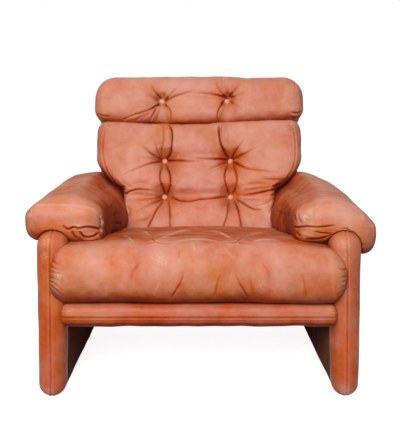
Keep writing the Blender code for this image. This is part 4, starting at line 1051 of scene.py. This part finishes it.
def leather(name, tones, gloss=0.25):
    """Old aniline leather: light on its crowns, where it is rubbed and carries painted sheen, with painted shade deep
    in its folds, scuffed pale, with a fine broken grain.
    """
    material, tree, shader, place = blank(name)
    fold = add_node(tree, "ShaderNodeAttribute", attribute_name="fold").outputs["Fac"]
    worn = add_node(tree, "ShaderNodeAttribute", attribute_name="worn").outputs["Fac"]
    blotch = noise(tree, place, 7.0, 4.0, 0.6)
    cloud = noise(tree, place, 28.0, 4.0, 0.65)
    # the fold attribute carries painted shade and painted highlight; the ramp turns it into tone
    share = maths(tree, "ADD", remap(tree, blotch, 0.34, 0.66, 0.0, 0.26), fold)
    share = maths(tree, "ADD", share, remap(tree, cloud, 0.3, 0.7, -0.045, 0.045))
    ramp_node = add_node(tree, "ShaderNodeValToRGB", {"Fac": share})
    stops = ramp_node.color_ramp.elements
    while len(stops) < len(tones):
        stops.new(0.5)
    for stop, (position, colour) in zip(stops, tones):
        stop.position = position
        stop.color = linear(colour)
    drift = remap(tree, noise(tree, place, 4.5, 3.0, 0.6), 0.38, 0.62, 0.4965, 0.5045)
    strong = remap(tree, noise(tree, place, 11.0, 3.0, 0.6), 0.35, 0.65, 0.95, 1.09)
    hue = {"Hue": drift, "Saturation": strong, "Color": ramp_node.outputs["Color"]}
    toned = add_node(tree, "ShaderNodeHueSaturation", hue).outputs["Color"]
    grain = add_node(tree, "ShaderNodeTexVoronoi", {"Vector": place, "Scale": 330.0}, feature="DISTANCE_TO_EDGE")
    crack = remap(tree, grain.outputs["Distance"], 0.0, 0.10)
    colour = mixed(tree, remap(tree, crack, 0.0, 1.0, 0.14, 0.0), toned, linear(tones[-1][1]))
    rub = maths(tree, "MULTIPLY", worn, remap(tree, noise(tree, place, 160.0, 5.0, 0.7), 0.38, 0.58))
    colour = mixed(tree, rub, colour, linear(PALE))
    tree.links.new(colour, shader.inputs["Base Color"])
    rough = maths(tree, "ADD", remap(tree, cloud, 0.3, 0.7, 0.42, 0.56), maths(tree, "MULTIPLY", fold, 0.3))
    tree.links.new(maths(tree, "ADD", rough, maths(tree, "MULTIPLY", rub, 0.25)), shader.inputs["Roughness"])
    shader.inputs["Specular IOR Level"].default_value = gloss
    fine = add_node(tree, "ShaderNodeBump", {"Height": crack, "Strength": 0.35, "Distance": 0.0006})
    soft = {"Height": noise(tree, place, 90.0, 4.0, 0.6), "Strength": 0.5, "Distance": 0.0016, "Normal": fine.outputs[0]}
    creased = {"Height": noise(tree, place, 30.0, 5.0, 0.65), "Strength": 0.4, "Distance": 0.0010}
    creased["Normal"] = add_node(tree, "ShaderNodeBump", soft).outputs[0]
    tree.links.new(add_node(tree, "ShaderNodeBump", creased).outputs[0], shader.inputs["Normal"])
    return material


def woven(name, colour, dark, scale):
    """A plain weave of threads."""
    material, tree, shader, place = blank(name)
    threads = []
    for direction in ("X", "Y"):
        wave = add_node(tree, "ShaderNodeTexWave", {"Vector": place, "Scale": scale, "Distortion": 1.0}, bands_direction=direction)
        threads.append(wave.outputs["Fac"])
    weave = maths(tree, "MULTIPLY", *threads)
    share = maths(tree, "ADD", weave, remap(tree, noise(tree, place, 60.0), 0.3, 0.7, -0.2, 0.2))
    tree.links.new(mixed(tree, remap(tree, share, 0, 1), linear(dark), linear(colour)), shader.inputs["Base Color"])
    shader.inputs["Roughness"].default_value = 0.9
    bump_node = add_node(tree, "ShaderNodeBump", {"Height": weave, "Strength": 0.6, "Distance": 0.0005})
    tree.links.new(bump_node.outputs[0], shader.inputs["Normal"])
    return material


def grained(name, colour, dark, stretch):
    """Wood or board, with a grain stretched by the given amounts along the axes."""
    material, tree, shader, place = blank(name)
    scaled = add_node(tree, "ShaderNodeMapping", {"Vector": place, "Scale": stretch}).outputs["Vector"]
    grain = noise(tree, scaled, 12.0, 6.0, 0.65)
    tree.links.new(mixed(tree, remap(tree, grain, 0.3, 0.7), linear(dark), linear(colour)), shader.inputs["Base Color"])
    tree.links.new(remap(tree, grain, 0.3, 0.7, 0.65, 0.85), shader.inputs["Roughness"])
    bump_node = add_node(tree, "ShaderNodeBump", {"Height": grain, "Strength": 0.3, "Distance": 0.0004})
    tree.links.new(bump_node.outputs[0], shader.inputs["Normal"])
    return material


def dull(name, colour, dark, roughness, metallic):
    """Nylon or plated steel with faint scuffs."""
    material, tree, shader, place = blank(name)
    marks = noise(tree, place, 140.0, 5.0, 0.7)
    tree.links.new(mixed(tree, remap(tree, marks, 0.35, 0.7), linear(colour), linear(dark)), shader.inputs["Base Color"])
    tree.links.new(remap(tree, marks, 0.3, 0.7, roughness, roughness + 0.2), shader.inputs["Roughness"])
    shader.inputs["Metallic"].default_value = metallic
    return material


def finish_node(node, material):
    """Gives a CAD node that stays in view a better material."""
    for material_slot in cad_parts[node].material_slots:
        material_slot.link = "OBJECT"
        material_slot.material = material


def finish_hidden_parts():
    """Materials for the CAD nodes that stay as they are."""
    finishes = {
        "button": leather("button_leather_looks", TONES["button"]),
        "board": grained("particle_board_looks", (176, 146, 110), (138, 106, 74), (9, 9, 9)),
        "rail": grained("rail_wood_looks", (196, 158, 116), (162, 120, 80), (0.6, 14, 14)),
        "upright": grained("upright_wood_looks", (196, 158, 116), (162, 120, 80), (14, 14, 0.6)),
        "strap": woven("jute_webbing_looks", (150, 124, 92), (96, 74, 50), 180.0),
        "cloth": woven("dust_cloth_looks", (46, 43, 42), (22, 20, 20), 260.0),
        "glide": dull("nylon_looks", (52, 48, 44), (34, 31, 29), 0.45, 0.0),
        "bolt": dull("zinc_looks", (196, 196, 192), (150, 148, 142), 0.3, 1.0),
    }
    for node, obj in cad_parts.items():
        if obj.hide_render:
            continue
        kind = next((key for key in finishes if key in node), "bolt")
        finish_node(node, finishes[kind])


# Scene
def build_stage():
    """A pale floor that keeps the chair's shadow, and a white surround."""
    material, tree, shader, place = blank("pale_floor")
    tree.nodes.remove(shader)
    rays = add_node(tree, "ShaderNodeLightPath").outputs
    seen = maths(tree, "MAXIMUM", rays["Is Camera Ray"], maths(tree, "MAXIMUM", rays["Is Glossy Ray"], rays["Is Transmission Ray"]))
    speckle = maths(tree, "MULTIPLY", remap(tree, noise(tree, place, 30.0), 0.3, 0.7, 0.98, 1.0), remap(tree, seen, 0.0, 1.0, 0.12, 0.85))
    tone = add_node(tree, "ShaderNodeCombineColor")
    for socket in tone.inputs[:3]:
        tree.links.new(speckle, socket)
    diffuse = add_node(tree, "ShaderNodeBsdfDiffuse", {"Color": tone.outputs[0]})
    glow = add_node(tree, "ShaderNodeEmission", {"Color": (1, 1, 1, 1), "Strength": maths(tree, "MULTIPLY", seen, 0.88)})
    both = add_node(tree, "ShaderNodeAddShader")
    tree.links.new(diffuse.outputs[0], both.inputs[0])
    tree.links.new(glow.outputs[0], both.inputs[1])
    tree.links.new(both.outputs[0], tree.nodes["Material Output"].inputs["Surface"])
    bpy.ops.mesh.primitive_plane_add(size=60)
    floor = bpy.context.object
    floor.name = "floor"
    floor.data.materials.append(material)
    world = bpy.data.worlds.new("surround")
    bpy.context.scene.world = world
    world.use_nodes = True
    tree = world.node_tree
    rays = add_node(tree, "ShaderNodeLightPath").outputs
    seen = maths(tree, "MAXIMUM", rays["Is Camera Ray"], maths(tree, "MAXIMUM", rays["Is Glossy Ray"], rays["Is Transmission Ray"]))
    tree.nodes["Background"].inputs["Color"].default_value = (1, 1, 1, 1)
    tree.links.new(remap(tree, seen, 0.0, 1.0, 0.15, 1.0), tree.nodes["Background"].inputs["Strength"])


def add_lamp(name, place, target, size, power):
    lamp = bpy.data.lights.new(name, "AREA")
    lamp.shape = "RECTANGLE"
    lamp.size, lamp.size_y = size
    lamp.energy = power
    obj = bpy.data.objects.new(name, lamp)
    bpy.context.scene.collection.objects.link(obj)
    obj.location = place
    obj.rotation_euler = (Vector(target) - Vector(place)).to_track_quat("-Z", "Y").to_euler()


def add_camera():
    camera = bpy.data.cameras.new("camera")
    camera.sensor_fit = "VERTICAL"
    camera.sensor_height = SENSOR
    camera.lens = SENSOR * FOCAL / FRAME_HEIGHT
    obj = bpy.data.objects.new("camera", camera)
    bpy.context.scene.collection.objects.link(obj)
    obj.location = CAMERA
    obj.rotation_euler = (pi / 2 - PITCH, 0, 0)
    bpy.context.scene.camera = obj


def line_inside(panel, side, material):
    """Gives the inner face of a side panel, below the seat, the dull lining."""
    panel.data.materials.append(material)
    for face in panel.data.polygons:
        inside = -side * face.normal.x > 0.9 and -side * face.center.x < -INNER_TOP
        if inside and face.center.z < PLATFORM_TOP and SIDE_FRONT + 0.05 < face.center.y < SIDE_REAR - 0.05:
            face.material_index = 1


def build_chair():
    body = leather("worn_leather_looks", TONES["body"])
    sides = leather("panel_leather_looks", TONES["panel"])
    lining = leather("panel_lining_looks", TONES["lining"], gloss=0.0)
    panels = []
    for name, side in SIDES.items():
        points, quads, shade = build_panel(name, side)
        panels.append(leather_piece(name + "_side_cover", points, quads, shade, sides, 0.20))
        line_inside(panels[-1], side, lining)
    points, quads, shade = build_platform()
    platform = leather_piece("seat_platform", clear_of(points, *panels), quads, shade, sides, 0.30)
    points, quads, shade = build_shell()
    shell = leather_piece("back_shell", points, quads, shade, sides, 0.20)
    points, quads, shade = build_back_cushion()
    back = leather_piece("back_cushion", clear_of(points, shell), quads, shade, body)
    points, quads, shade = build_headrest()
    leather_piece("headrest_cushion", clear_of(points, shell, back), quads, shade, body)
    points, quads, shade = build_seat()
    points = clear_of(points, *panels, back, platform)
    seat = leather_piece("seat_cushion", points, quads, shade, body)
    for name, side in SIDES.items():
        points, quads, shade = build_arm(name, side)
        points = clear_of(points, *panels, shell, back, seat)
        leather_piece(name + "_arm_pad", points, quads, shade, body)


add_camera()
build_stage()
add_lamp("key", (-0.5, -3.3, 2.1), (0, 0, 0.45), (2.2, 1.6), 124)
add_lamp("top", (0.3, 0.2, 2.9), (0, 0, 0.5), (2.0, 2.0), 5)
build_chair()
build_buttons(leather("button_cap_looks", TONES["button"]))
finish_hidden_parts()
bpy.context.scene.view_settings.view_transform = "Standard"
